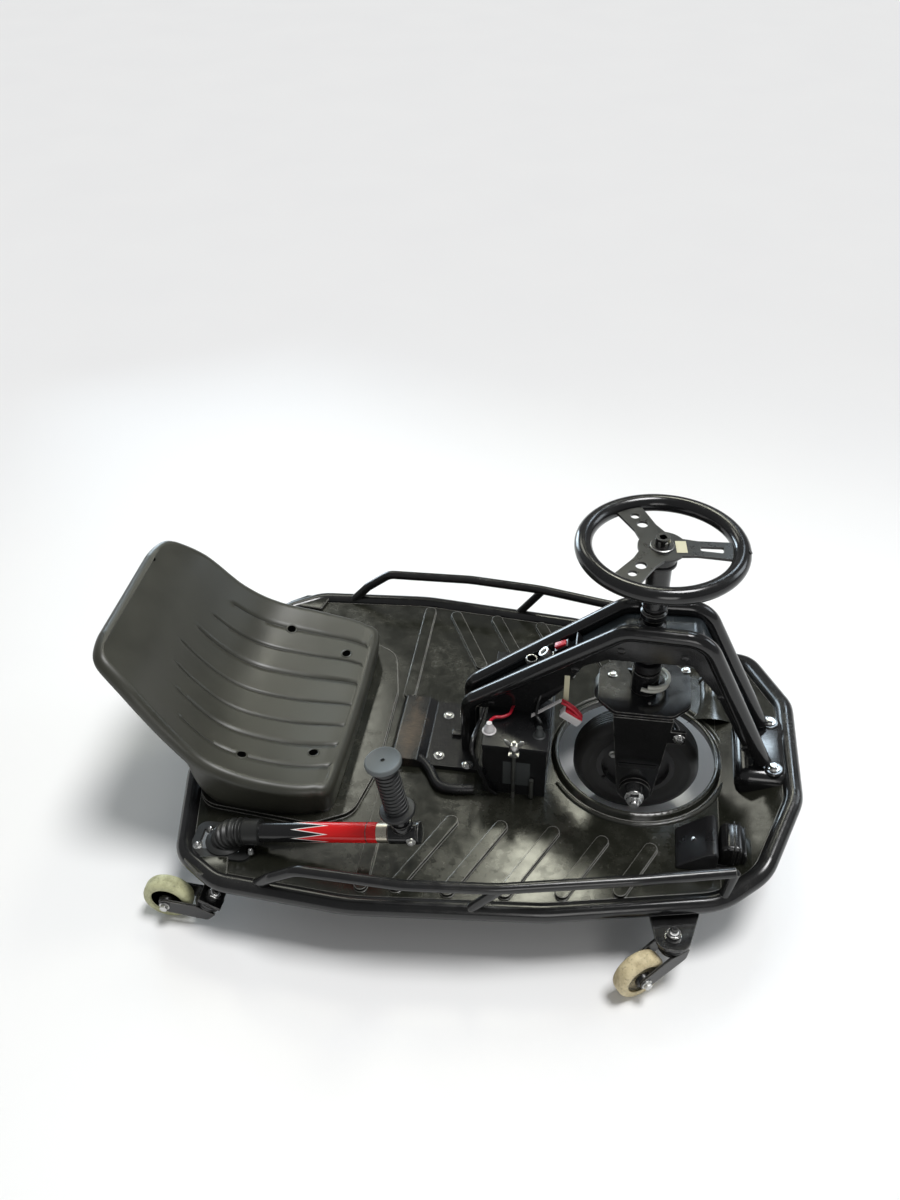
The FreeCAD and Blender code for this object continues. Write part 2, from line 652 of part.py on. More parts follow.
strap_base = S.deck_top + S.battery_tall
rod_side = S.battery_half_span + S.clamp_rod_dia
strap = block("clamp_strap", at(S.battery_ahead - S.clamp_width / 2, -rod_side - 5, strap_base),
              ("Sizes.clamp_width", 2 * rod_side + 10, "Sizes.clamp_sheet"))
rods = [cylinder(f"clamp_rod_{side}", at(S.battery_ahead, rod_side * way, S.deck_top), UP,
                 "Sizes.clamp_rod_dia / 2", S.battery_tall + 14) for side, way in SIDES]
finish(fuse("clamp_all", [strap] + rods), "battery_clamp")

# Seat

# Stations along the seat: edge ahead, edge height, half width, dish depth, facing in degrees
# from straight ahead.
SEAT = [
    (-454, 160, 150, 5, 96),
    (-482, 171, 198, 12, 93),
    (-560, 183, 210, 24, 86),
    (-636, 204, 204, 30, 68),
    (-688, 246, 190, 30, 44),
    (-745, 317, 176, 22, 36),
    (-792, 356, 150, 12, 46),
    (-817, 367, 108, 6, 58),
]
seat_base = S.deck_top + S.platform_rise
seat_top = max(height for ahead, height, half, dish, facing in SEAT)


def seat_section(row, thickness):
    """One closed cross-section of the seat, dished between its two edges."""
    ahead, height, half, dish, facing = row
    turn = math.radians(facing)
    normal = Vector(math.cos(turn), 0, math.sin(turn))
    left_edge = at(ahead, half, height)
    right_edge = at(ahead, -half, height)
    middle = at(ahead, 0, height) - normal * dish
    drop = normal * thickness
    inner = Part.Arc(left_edge, middle, right_edge).toShape()
    outer = Part.Arc(right_edge - drop, middle - drop, left_edge - drop).toShape()
    end = Part.LineSegment(right_edge, right_edge - drop).toShape()
    start = Part.LineSegment(left_edge - drop, left_edge).toShape()
    return Part.Wire([inner, end, outer, start])


def seat_under(row):
    """The space straight below one cross-section, down to the floor."""
    ahead, height, half, dish, facing = row
    turn = math.radians(facing)
    normal = Vector(math.cos(turn), 0, math.sin(turn))
    low = normal * (S.seat_sheet / 2)
    left_edge = at(ahead, half, height) - low
    right_edge = at(ahead, -half, height) - low
    middle = at(ahead, 0, height) - normal * dish - low
    foot_left = at(ahead, half, 0)
    foot_right = at(ahead, -half, 0)
    return Part.Wire([Part.Arc(left_edge, middle, right_edge).toShape(),
                      Part.LineSegment(right_edge, foot_right).toShape(),
                      Part.LineSegment(foot_right, foot_left).toShape(),
                      Part.LineSegment(foot_left, left_edge).toShape()])


seat_skin = feature("seat_skin",
                    Part.makeLoft([seat_section(row, S.seat_sheet) for row in SEAT], True, True))
seat_space = feature("seat_space", Part.makeLoft([seat_under(row) for row in SEAT[:5]], True, True))
# Skirt under the seat, outer half outline, rear to front: ahead, to the side, corner radius.
SKIRT = [(-672, 188, 40), (-560, 207, 80), (-478, 196, 40), (-456, 140, 40)]


def skirt_outline(name, inset):
    """The skirt's outline, drawn in on every side by an inset."""
    shifts = [inset] + [0] * (len(SKIRT) - 2) + [-inset]
    rows = [(ahead + shift, side - inset, bend)
            for (ahead, side, bend), shift in zip(SKIRT, shifts)]
    right = [(at(ahead, -side, seat_base), bend) for ahead, side, bend in rows]
    left = [(at(ahead, side, seat_base), bend) for ahead, side, bend in reversed(rows)]
    return prism(name, [point for point, bend in right + left],
                 [bend for point, bend in right + left], UP * seat_top)


skirt_ring = cut("skirt_ring", skirt_outline("skirt_outer", 0),
                 skirt_outline("skirt_inner", S.seat_sheet))
skirt = common("seat_skirt", skirt_ring, seat_space)
seat_whole = fuse("seat_whole", [seat_skin, skirt])
SEAT_BOLTS = [(S.seat_front_bolt_ahead, S.seat_front_bolt_half),
              (S.seat_rear_bolt_ahead, S.seat_rear_bolt_half)]
seat_bores = [cylinder(f"seat_bore_{side}_{i}", at(ahead, half * way, 0), UP,
                       "Sizes.seat_bolt_dia / 2", seat_top)
              for i, (ahead, half) in enumerate(SEAT_BOLTS) for side, way in SIDES]
seat_shell = cut("seat_cut", seat_whole, fuse("seat_bores", seat_bores))
finish(seat_shell, "seat_shell")

# Posts under the seat bolts, cut to the seat's underside
seat_posts = [cylinder(f"seat_post_{side}_{i}", at(ahead, half * way, seat_base), UP,
                       "Sizes.seat_post_dia / 2", seat_top)
              for i, (ahead, half) in enumerate(SEAT_BOLTS) for side, way in SIDES]
posts_in = common("seat_posts_in", fuse("seat_posts_all", seat_posts), seat_space)
posts_cut = cut("seat_posts_cut", posts_in, fuse("seat_posts_tool", [seat_skin, skirt] + seat_bores))
finish(posts_cut, "seat_posts")

# Pedal: a sloping pad and the housing it hinges in front of
pad_points = [(62, S.deck_top), (66, S.deck_top + 12), (112, S.deck_top + 44),
              (122, S.deck_top + 40), (122, S.deck_top)]
pedal_body = body("pedal_body")
pad(pedal_body,
    sketch(pedal_body, "XZ_Plane",
           route([Vector(ahead, height, 0) for ahead, height in pad_points], [0, 4, 6, 4, 0],
                 closed=True), "pedal_profile"), "Sizes.pedal_width", "pedal_pad_solid",
    both_ways=True)
pedal_body.Placement = Placement(at(0, S.pedal_side, 0), Rotation())
finish(pedal_body, "pedal")
housing_points = [(123, S.deck_top), (123, S.deck_top + 36), (132, S.deck_top + 44),
                  (158, S.deck_top + 44), (168, S.deck_top + 34),
                  (168, S.deck_top + ramp_height(168)), (S.fold_ahead, S.deck_top)]
housing_body = body("housing_body")
pad(housing_body,
    sketch(housing_body, "XZ_Plane",
           route([Vector(ahead, height, 0) for ahead, height in housing_points],
                 [0, 4, 6, 6, 4, 0, 0], closed=True), "housing_profile"),
    "Sizes.housing_width", "housing_solid", both_ways=True)
housing_body.Placement = Placement(at(0, S.pedal_side, 0), Rotation())
finish(housing_body, "pedal_housing")

# Casters: one fork and wheel drawn at its swivel axis, used four times

crown_high = S.crown_sheet
leg_in = S.caster_width / 2 + S.fork_side_gap
leg_out = leg_in + S.fork_sheet
axle_drop = S.caster_reach


def caster_fork(name, pin_top, dome_tall, place):
    """Crown, two legs, axle bolt and swivel pin; the crown's underside is at zero."""
    crown = cylinder(f"{name}_crown", Vector(0, 0, 0), UP, "Sizes.crown_dia / 2",
                     "Sizes.crown_sheet")
    leg_points = [(16, crown_high), (12, -14), (-S.caster_trail + 8, -axle_drop - 11),
                  (-S.caster_trail - 8, -axle_drop - 8), (-S.caster_trail - 10, -axle_drop + 8),
                  (-16, crown_high)]
    parts = [crown]
    for side, way in SIDES:
        low = leg_in if way > 0 else -leg_out
        parts.append(prism(f"{name}_leg_{side}",
                           [Vector(ahead, low, height) for ahead, height in leg_points],
                           [0, 8, 8, 8, 8, 0], LEFT * S.fork_sheet))
    bridge = block(f"{name}_bridge", Vector(-10, -leg_out, 0), (20, 2 * leg_out, "Sizes.crown_sheet"))
    bolt = cylinder(f"{name}_bolt", Vector(-S.caster_trail, -leg_out - 4, -axle_drop), LEFT,
                    "Sizes.kingpin_dia / 3", 2 * leg_out + 8)
    pin = cylinder(f"{name}_pin", Vector(0, 0, crown_high / 2), UP, "Sizes.kingpin_dia / 2",
                   pin_top - crown_high / 2 + 1)
    nut = cylinder(f"{name}_nut", Vector(0, 0, pin_top), UP, "Sizes.dome_dia / 2", dome_tall * 0.45)
    dome = doc.addObject("Part::Cone", f"{name}_dome")
    dome.setExpression("Radius1", "Sizes.dome_dia / 2 * 0.86")
    dome.setExpression("Radius2", "Sizes.dome_dia / 2 * 0.4")
    dome.Height = dome_tall * 0.55
    dome.Placement = Placement(Vector(0, 0, pin_top + dome_tall * 0.45), Rotation())
    fork = fuse(f"{name}_all", parts + [bridge, bolt, pin, nut, dome])
    fork.Placement = place
    return fork


def caster_wheel(label, place):
    """Wheel turned about its axle, with the axle's bore."""
    half = S.caster_width / 2
    bolt = S.kingpin_dia / 3 + S.pin_gap
    edge = S.caster_dia / 2
    hub = half + S.fork_side_gap - 0.5
    profile = [(bolt, -hub), (11, -hub), (12, -half + 4), (edge - 15, -half + 4),
               (edge - 13, -half), (edge - 5, -half), (edge, -half + 9), (edge, half - 9),
               (edge - 5, half), (edge - 13, half), (edge - 15, half - 4), (12, half - 4),
               (11, hub), (bolt, hub)]
    rounds = [0, 0, 0, 0, 0, 3, 6, 6, 3, 0, 0, 0, 0, 0]
    wheel = turned(label, profile, rounds, LEFT, Vector(0, 0, 0))
    wheel.Placement = place.multiply(Placement(Vector(-S.caster_trail, 0, -axle_drop),
                                               Rotation(UP, LEFT)))
    return wheel


# Front brackets and casters: side name, way across, turn of the fork in degrees.
plate_low = S.tube_height - S.tube_dia / 2 - S.caster_plate
front_crown = plate_low - S.cup_tall - S.cup_gap - S.crown_sheet
FRONT = [("left", 1, 37), ("right", -1, 37)]
beside = edge_side(S.front_caster_ahead)
front_half = beside + S.front_caster_out
inner = beside - S.bracket_root
outer = front_half + S.bracket_reach
for side, way, yaw in FRONT:
    pivot = at(S.front_caster_ahead, front_half * way, 0)
    plate_points = [
        at(S.front_caster_ahead - 44, inner * way, plate_low),
        at(S.front_caster_ahead + 44, inner * way, plate_low),
        at(S.front_caster_ahead + 40, (inner + 34) * way, plate_low),
        at(S.front_caster_ahead + 21, outer * way, plate_low),
        at(S.front_caster_ahead - 21, outer * way, plate_low),
        at(S.front_caster_ahead - 40, (inner + 34) * way, plate_low),
    ]
    plate = prism(f"bracket_{side}_plate", plate_points, [0, 0, 20, 20, 20, 20],
                  UP * S.caster_plate)
    cup = cylinder(f"bracket_{side}_cup", pivot + UP * (plate_low - S.cup_tall), UP,
                   "Sizes.cup_dia / 2", "Sizes.cup_tall")
    stub = block(f"bracket_{side}_stub",
                 at(S.front_caster_ahead - 30, min(inner * way, (inner + 14) * way),
                    plate_low + S.caster_plate),
                 (60, 14, S.deck_top - S.deck_sheet - plate_low - S.caster_plate))
    pin_bore = cylinder(f"bracket_{side}_bore", pivot, UP,
                        "Sizes.kingpin_dia / 2 + Sizes.pin_gap", S.deck_top)
    whole = fuse(f"bracket_{side}_all", [plate, cup, stub])
    cleared = cut(f"bracket_{side}_cleared", whole, edge_tube)
    finish(cut(f"bracket_{side}_cut", cleared, pin_bore), f"front_bracket_{side}")
    stand = Placement(pivot + UP * front_crown, Rotation(UP, yaw * -way))
    pin_top = plate_low + S.caster_plate + 0.5 - front_crown
    finish(caster_fork(f"front_fork_{side}", pin_top, S.dome_tall, stand), f"front_fork_{side}")
    finish(caster_wheel(f"front_caster_{side}", stand), f"front_caster_{side}")

# Drift axle: cross tube, tilted caster carriers at its ends, and the lever to the bar
lean = Rotation(LEFT, S.drift_tilt)
axle_centre = at(S.drift_axle_ahead, 0, S.drift_axle_height)
carrier_top = -S.carrier_drop
carrier_low = carrier_top - S.caster_plate
rear_crown = carrier_low - S.cup_tall - S.cup_gap - S.crown_sheet
drift_parts = [cylinder("drift_tube", axle_centre - LEFT * S.drift_axle_half, LEFT,
                        "Sizes.drift_axle_dia / 2", 2 * S.drift_axle_half)]
carrier_tools = []
for side, way in SIDES:
    pivot = at(S.drift_axle_ahead, S.rear_caster_half * way, S.drift_axle_height)
    tilted = Placement(pivot, lean)
    carrier = block(f"carrier_{side}_plate", Vector(0, 0, 0), (36, 44, "Sizes.caster_plate"))
    carrier.Placement = tilted.multiply(Placement(Vector(-18, -22 - 4 * way, carrier_low), Rotation()))
    cup = cylinder(f"carrier_{side}_cup", Vector(0, 0, 0), UP, "Sizes.cup_dia / 2", "Sizes.cup_tall")
    cup.Placement = tilted.multiply(Placement(Vector(0, 0, carrier_low - S.cup_tall), Rotation()))
    drift_parts += [carrier, cup]
    tool = cylinder(f"carrier_{side}_bore", Vector(0, 0, 0), UP,
                    "Sizes.kingpin_dia / 2 + Sizes.pin_gap", 80)
    tool.Placement = tilted.multiply(Placement(Vector(0, 0, -40), Rotation()))
    carrier_tools.append(tool)
    seat = cylinder(f"carrier_{side}_seat", Vector(0, 0, 0), UP, "Sizes.dome_dia / 2 + 1", 30)
    seat.Placement = tilted.multiply(Placement(Vector(0, 0, carrier_top), Rotation()))
    carrier_tools.append(seat)
axle_whole = fuse("drift_axle_all", drift_parts)
axle_cut = cut("drift_axle_cut", axle_whole, fuse("drift_axle_tools", carrier_tools))

# Side view of the drift bar's axis: it leaves the axle, passes the floor and bends forward.
bend_ahead = S.drift_axle_ahead + S.bar_bend_ahead
bend_height = S.drift_axle_height + S.bar_bend_rise
rise = math.tan(math.radians(S.bar_rise))
tip_height = bend_height + (S.bar_tip_ahead - bend_ahead) * rise
bar_way = Vector(math.cos(math.radians(S.bar_rise)), 0, math.sin(math.radians(S.bar_rise)))
grip_way = Vector(-bar_way.z, 0, bar_way.x)
bar_start = at(S.drift_axle_ahead, S.bar_side, S.drift_axle_height)
bar_bend = at(bend_ahead, S.bar_side, bend_height)
tip = at(S.bar_tip_ahead, S.bar_side, tip_height)
lever_path = wire([bar_start, bar_bend, tip], [0, 42, 0])
lever = swept("drift_lever", lever_path, "lever_dia")
sleeve_start = bar_bend + bar_way * 36
sleeve_end = tip - bar_way * (S.socket_long / 2 + 18)
sleeve = cylinder("drift_sleeve", sleeve_start, bar_way, "Sizes.bar_dia / 2",
                  (sleeve_end - sleeve_start).Length)
socket = cylinder("socket_sleeve", tip - bar_way * (S.socket_long / 2), bar_way,
                  "Sizes.socket_dia / 2", "Sizes.socket_long")
post = cylinder("drift_post", tip, grip_way, "Sizes.post_dia / 2", S.grip_top - 8)
axle_piece = finish(axle_cut, "drift_axle")
bar_piece = fuse("drift_bar_all", [lever, sleeve])
tube_tool = cylinder("drift_tube_tool", axle_centre - LEFT * S.drift_axle_half, LEFT,
                     "Sizes.drift_axle_dia / 2", 2 * S.drift_axle_half)
socket_whole = fuse("drift_socket_all", [socket, post])
finish(cut("drift_bar_cut", bar_piece, fuse("drift_bar_tools", [tube_tool, socket_whole])),
       "drift_bar")
grip_core = cylinder("grip_core", tip + grip_way * S.grip_base, grip_way, "Sizes.grip_dia / 2",
                     "Sizes.grip_top - Sizes.grip_base")
grip_flange = cylinder("grip_flange", tip + grip_way * S.grip_base, grip_way,
                       "Sizes.grip_cap_dia / 2", 6)
grip_cap = cylinder("grip_cap", tip + grip_way * (S.grip_top - 9), grip_way,
                    "Sizes.grip_cap_dia / 2", 9)
grip_whole = fuse("grip_whole", [grip_core, grip_flange, grip_cap])
finish(cut("grip_cut", grip_whole, socket_whole), "drift_grip")
finish(socket_whole, "drift_socket")

# Rubber boot on the bar and the flange that clamps it to the floor
boot_path = wire([bar_start, bar_bend, bar_bend + bar_way * 52], [0, 42, 0])
boot_spine = feature("boot_route", boot_path)


def boot_skin(name, radius):
    ring = doc.addObject("Part::Circle", name + "_ring")
    ring.Radius = radius
    first = boot_path.OrderedEdges[0]
    ring.Placement = Placement(first.valueAt(first.FirstParameter),
                               Rotation(UP, first.tangentAt(first.FirstParameter)))
    skin = doc.addObject("Part::Sweep", name)
    skin.Sections = [ring]
    skin.Spine = (boot_spine, [f"Edge{i + 1}" for i in range(len(boot_path.Edges))])
    skin.Solid = True
    return skin


boot_inner = boot_skin("boot_inner", S.bar_dia / 2 + S.boot_gap)
boot_outer = boot_skin("boot_outer", S.bar_dia / 2 + S.boot_gap + S.boot_wall)
boot_tube = cut("boot_tube", boot_outer, boot_inner)
above_floor = block("boot_space",
                    at(S.drift_axle_ahead - widest, S.bar_side - widest,
                       S.deck_top + S.flange_sheet), (2 * widest, 2 * widest, 2 * widest))
finish(common("boot_cut", boot_tube, above_floor), "drift_boot")
flange_points = [at(S.drift_axle_ahead + ahead, S.bar_side + across, S.deck_top)
                 for ahead, across in ((-44, -33), (52, -33), (52, 33), (-44, 33))]
flange_plate = prism("flange_plate", flange_points, [16] * 4, UP * S.flange_sheet)
finish(cut("flange_cut", flange_plate, fuse("flange_tools", [slot, edge_tube])), "boot_flange")

# Hangers that carry the drift axle under the floor
hanger_solids = []
for side, way in SIDES:
    middle = S.hanger_half * way - S.hanger_sheet / 2
    outline = [at(S.drift_axle_ahead + ahead, middle, height) for ahead, height in (
        (-22, S.drift_axle_height - 18), (22, S.drift_axle_height - 18),
        (34, S.deck_top - S.deck_sheet), (-34, S.deck_top - S.deck_sheet))]
    hanger_solids.append(prism(f"hanger_{side}", outline, [16, 16, 0, 0], LEFT * S.hanger_sheet))
hanger_bore = cylinder("hanger_bore", axle_centre - LEFT * widest, LEFT,
                       "Sizes.drift_axle_dia / 2 + Sizes.pin_gap", 2 * widest)
hangers = cut("hanger_cut", fuse("hanger_all", hanger_solids), hanger_bore)
finish(fuse("underframe_all", [cross_tubes, hangers]), "underframe")

# Rear casters on the tilted carriers
for side, way in SIDES:
    pivot = at(S.drift_axle_ahead, S.rear_caster_half * way, S.drift_axle_height)
    stand = Placement(pivot, lean).multiply(Placement(Vector(0, 0, rear_crown), Rotation()))
    pin_top = carrier_top + 0.5 - rear_crown
    finish(caster_fork(f"rear_fork_{side}", pin_top, S.rear_dome_tall, stand), f"rear_fork_{side}")
    finish(caster_wheel(f"rear_caster_{side}", stand), f"rear_caster_{side}")

# Steering: column, wheel, and the drive unit that turns under the arch

head_top = S.head_base + S.head_sheet
column_r = S.column_dia / 2
COLUMN = [
    (0, head_top),
    (column_r + 9, head_top),
    (column_r + 9, head_top + 38),
    (column_r, head_top + 41),
    (column_r, S.bearing_tip + 6),
    (column_r + 5, S.bearing_tip + 8),
    (column_r + 5, S.wheel_height - 26),
    (column_r + 10, S.wheel_height - 20),
    (column_r + 10, S.wheel_height - S.spoke_sheet / 2),
    (0, S.wheel_height - S.spoke_sheet / 2),
]
finish(turned("column", COLUMN, [0] * len(COLUMN), UP, at(0, 0, 0)), "steering_column")

rim = doc.addObject("Part::Torus", "wheel_rim")
rim.setExpression("Radius1", "Sizes.wheel_ring_dia / 2")
rim.setExpression("Radius2", "Sizes.wheel_grip_dia / 2")
rim.Placement = Placement(at(0, 0, S.wheel_height), Rotation())
finish(rim, "steering_wheel")

# One spoke, pointing ahead: distance from the axis, half width.
spoke_end = S.wheel_ring_dia / 2 - S.wheel_grip_dia / 4
SPOKE = [(20, 21), (48, 17), (spoke_end, 20)]
spoke_points = [Vector(reach, -half, 0) for reach, half in SPOKE]
spoke_points += [Vector(reach, half, 0) for reach, half in reversed(SPOKE)]
spokes_body = body("spokes_body")
hub_pad = pad(spokes_body, sketch(spokes_body, "XY_Plane", [circle(0, 0, 34)], "hub_outline"),
              "Sizes.spoke_sheet", "hub_pad")
spoke_pad = pad(spokes_body, sketch(spokes_body, "XY_Plane",
                                    route(spoke_points, [0, 8, 0, 0, 8, 0], closed=True),
                                    "spoke_outline"), "Sizes.spoke_sheet", "spoke_pad")
spokes_body.Placement = Placement(at(0, 0, S.wheel_height - S.spoke_sheet / 2), Rotation())
doc.recompute()
spokes_turn = spokes_body.newObject("PartDesign::PolarPattern", "spoke_turn")
spokes_turn.Originals = [spoke_pad]
hub_axis = [item for item in spokes_body.Origin.OriginFeatures if item.Role == "Z_Axis"][0]
spokes_turn.Axis = (hub_axis, [""])
spokes_turn.Angle = 360
spokes_turn.Occurrences = 3
spokes_body.Tip = spokes_turn
doc.recompute()
# Holes in the spokes: turn in degrees, distance from the axis, radius.
SPOKE_HOLES = [(120, 56, 8), (120, 78, 6.5), (240, 56, 8), (240, 78, 6.5)]
hole_curves = [circle(reach * math.cos(math.radians(turn)), reach * math.sin(math.radians(turn)),
                      radius) for turn, reach, radius in SPOKE_HOLES]
slot_curves = route([Vector(52, -5, 0), Vector(84, -7, 0), Vector(84, 7, 0), Vector(52, 5, 0)],
                    [3, 3, 3, 3], closed=True)
holes = spokes_body.newObject("PartDesign::Pocket", "spoke_holes")
holes.Profile = sketch(spokes_body, "XY_Plane", hole_curves + slot_curves, "spoke_hole_outline")
holes.Type = 1
holes.Midplane = True
doc.recompute()
spokes_body.Tip = holes
spokes = cut("spokes_cut", spokes_body, rim)
nut_base = at(0, 0, S.wheel_height + S.spoke_sheet / 2)
hub_nut = fuse("hub_nut_all", [cylinder("hub_washer", nut_base, UP, 16, 3),
                               cylinder("hub_hex", nut_base + UP * 3, UP, 10, 12)])
finish(fuse("spokes_all", [spokes, hub_nut]), "steering_spokes")

# Drive unit: clipped head plate and two tapered fork legs in one weldment
clip = S.head_clip
half_long = S.head_long / 2
half_wide = S.head_wide / 2
head_points = [at(x, y, S.head_base) for x, y in (
    (-half_long, -half_wide + clip), (-half_long + clip, -half_wide),
    (half_long - clip, -half_wide), (half_long, -half_wide + clip),
    (half_long, half_wide - clip), (half_long - clip, half_wide),
    (-half_long + clip, half_wide), (-half_long, half_wide - clip))]
head = prism("head_plate", head_points, [S.head_round] * 8, UP * S.head_sheet)
axle_height = S.tyre_dia / 2
fork_parts = [head]
for side, way in SIDES:
    low = S.fork_inner_half if way > 0 else -S.fork_inner_half - S.fork_leg
    leg = [at(ahead, low, height) for ahead, height in (
        (-45, S.head_base), (-26, axle_height - 26), (26, axle_height - 26), (45, S.head_base))]
    fork_parts.append(prism(f"drive_leg_{side}", leg, [0, 22, 22, 0], LEFT * S.fork_leg))
    boss_start = S.fork_inner_half * way
    fork_parts.append(cylinder(f"drive_boss_{side}", at(0, boss_start, axle_height), LEFT * way,
                               24, S.fork_leg + 8))
ear_low = -S.fork_inner_half - S.fork_leg
fork_parts.append(block("drive_ear", at(24, ear_low, 208), (42, 6, 24)))
axle_bore = cylinder("drive_bore", at(0, -S.axle_half, axle_height), LEFT, "Sizes.axle_dia / 2",
                     "2 * Sizes.axle_half")
finish(cut("drive_fork_cut", fuse("drive_fork_all", fork_parts), axle_bore), "drive_fork")

axle_bar = cylinder("drive_axle_bar", at(0, -S.axle_half, axle_height), LEFT, "Sizes.axle_dia / 2",
                    "2 * Sizes.axle_half")
boss_face = S.fork_inner_half + S.fork_leg + 8
nuts = [cylinder(f"drive_nut_{side}", at(0, boss_face * way, axle_height), LEFT * way, 13, 10)
        for side, way in SIDES]
finish(fuse("drive_axle_all", [axle_bar] + nuts), "drive_axle")

motor = cylinder("motor_case", at(-40, S.fork_inner_half + S.fork_leg, 176), LEFT,
                 "Sizes.motor_dia / 2", "Sizes.motor_long")
finish(motor, "drive_motor")

# Drive wheel: tyre and rim, turned about the axle
tyre_r = S.tyre_dia / 2
rim_r = S.rim_dia / 2
half_tyre = S.tyre_width / 2
TYRE = [(rim_r, -half_tyre + 5), (rim_r + 16, -half_tyre), (tyre_r, -half_tyre),
        (tyre_r, half_tyre), (rim_r + 16, half_tyre), (rim_r, half_tyre - 5)]
tyre = turned("tyre", TYRE, [0, 6, S.tyre_shoulder, S.tyre_shoulder, 6, 0], LEFT,
              at(0, 0, axle_height))
finish(tyre, "drive_tyre")
hub_half = S.fork_inner_half - 2
bore_r = S.axle_dia / 2 + S.pin_gap
RIM = [(bore_r, -hub_half), (20, -hub_half), (20, -6), (rim_r - 8, -6), (rim_r - 8, -half_tyre + 5),
       (rim_r, -half_tyre + 5), (rim_r, half_tyre - 5), (rim_r - 8, half_tyre - 5),
       (rim_r - 8, 6), (20, 6), (20, hub_half), (bore_r, hub_half)]
finish(turned("rim", RIM, [0] * len(RIM), LEFT, at(0, 0, axle_height)), "drive_rim")

doc.recompute()
failed = [obj.Name for obj in doc.Objects if {"Invalid", "Error"} & set(obj.State)]
if failed:
    raise RuntimeError(f"these features failed: {failed}")
for piece in pieces:
    if piece.Shape.isNull() or not piece.Shape.isValid():
        raise RuntimeError(f"{piece.Label} has no valid shape")

os.makedirs("parts", exist_ok=True)
for piece in pieces:
    piece.Shape.exportStep(f"parts/{piece.Label}.step")
    box = piece.Shape.optimalBoundingBox()
    print(f"{piece.Label:22s} {len(piece.Shape.Solids)} solids {piece.Shape.Volume / 1000:9.1f} cm3 "
          f"x {box.XMin:7.1f} {box.XMax:7.1f} y {box.YMin:7.1f} {box.YMax:7.1f} "
          f"z {box.ZMin:6.1f} {box.ZMax:6.1f}")
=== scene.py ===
"""Looks of the electric drift kart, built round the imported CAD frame. Metres, X forward, Y left, Z up."""

import json
import math

import bmesh
import bpy
from mathutils import Matrix, Vector


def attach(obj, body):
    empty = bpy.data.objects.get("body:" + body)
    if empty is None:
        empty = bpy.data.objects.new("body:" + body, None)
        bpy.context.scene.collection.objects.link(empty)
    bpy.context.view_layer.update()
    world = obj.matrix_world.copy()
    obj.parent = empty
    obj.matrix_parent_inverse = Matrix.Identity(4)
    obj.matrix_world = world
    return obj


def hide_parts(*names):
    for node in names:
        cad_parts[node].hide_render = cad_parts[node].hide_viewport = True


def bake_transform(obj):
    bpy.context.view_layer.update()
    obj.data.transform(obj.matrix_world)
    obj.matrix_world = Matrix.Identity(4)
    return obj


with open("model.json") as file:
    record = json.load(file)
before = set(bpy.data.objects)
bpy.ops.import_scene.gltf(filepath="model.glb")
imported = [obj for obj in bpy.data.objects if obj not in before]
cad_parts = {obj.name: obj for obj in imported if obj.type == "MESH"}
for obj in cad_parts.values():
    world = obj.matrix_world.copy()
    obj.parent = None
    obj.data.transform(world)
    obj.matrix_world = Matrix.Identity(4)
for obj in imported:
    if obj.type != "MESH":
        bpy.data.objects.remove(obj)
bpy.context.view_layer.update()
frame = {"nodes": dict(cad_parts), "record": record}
nodes = frame["nodes"]

# Where the steering axis stands in the frame, and the deck's upper face, in millimetres.
STEER_X = 287
DECK = 105
UP = Vector((0, 0, 1))
AHEAD = Vector((1, 0, 0))
LEFT = Vector((0, 1, 0))
SIDES = (("left", 1), ("right", -1))


def at(ahead, side, height):
    """A point given in millimetres ahead of the steering axis, to the left and above the floor."""
    return Vector((STEER_X + ahead, side, height)) / 1000


def facing(place, axis, across=None):
    """A matrix at a place whose Z lies along an axis, and whose X lies near another direction."""
    z = Vector(axis).normalized()
    hint = Vector(across) if across else (AHEAD if abs(z.x) < 0.9 else UP)
    x = (hint - z * hint.dot(z)).normalized()
    turn = Matrix((x, z.cross(x), z)).transposed().to_4x4()
    return Matrix.Translation(place) @ turn


def lifted(place, height):
    """A place moved along its own Z, in millimetres."""
    return place @ Matrix.Translation((0, 0, height / 1000))


def show(name, data):
    """A new object in the scene."""
    made = bpy.data.objects.new(name, data)
    bpy.context.scene.collection.objects.link(made)
    return made


def round_at(reach, degrees):
    """Where a circle's point lies, as a pair."""
    turn = math.radians(degrees)
    return reach * math.cos(turn), reach * math.sin(turn)


# Camera, fitted to the photograph: turns in degrees, lens length in its pixels, its height in pixels.

CAMERA_PLACE = at(-84.95, -1289.8, 1463.1)
YAW, PITCH, ROLL = (math.radians(angle) for angle in (-9.44, 39.16, -1.22))
LENS_PIXELS = 1132.2
PICTURE_TALL = 1200


def add_camera():
    """The camera that the photograph was taken with, seen from the driver's right."""
    look = Vector((math.sin(YAW) * math.cos(PITCH), math.cos(YAW) * math.cos(PITCH), -math.sin(PITCH)))
    flat = Vector((math.cos(YAW), -math.sin(YAW), 0))
    top = flat.cross(look)
    right = flat * math.cos(ROLL) + top * math.sin(ROLL)
    upward = top * math.cos(ROLL) - flat * math.sin(ROLL)
    data = bpy.data.cameras.new("camera")
    data.sensor_fit = "VERTICAL"
    data.sensor_height = 36
    data.lens = LENS_PIXELS * 36 / PICTURE_TALL
    data.clip_end = 50
    camera = show("camera", data)
    turn = Matrix((right, upward, -look)).transposed().to_4x4()
    camera.matrix_world = Matrix.Translation(CAMERA_PLACE) @ turn
    bpy.context.scene.camera = camera


add_camera()
bpy.context.view_layer.update()


# Materials

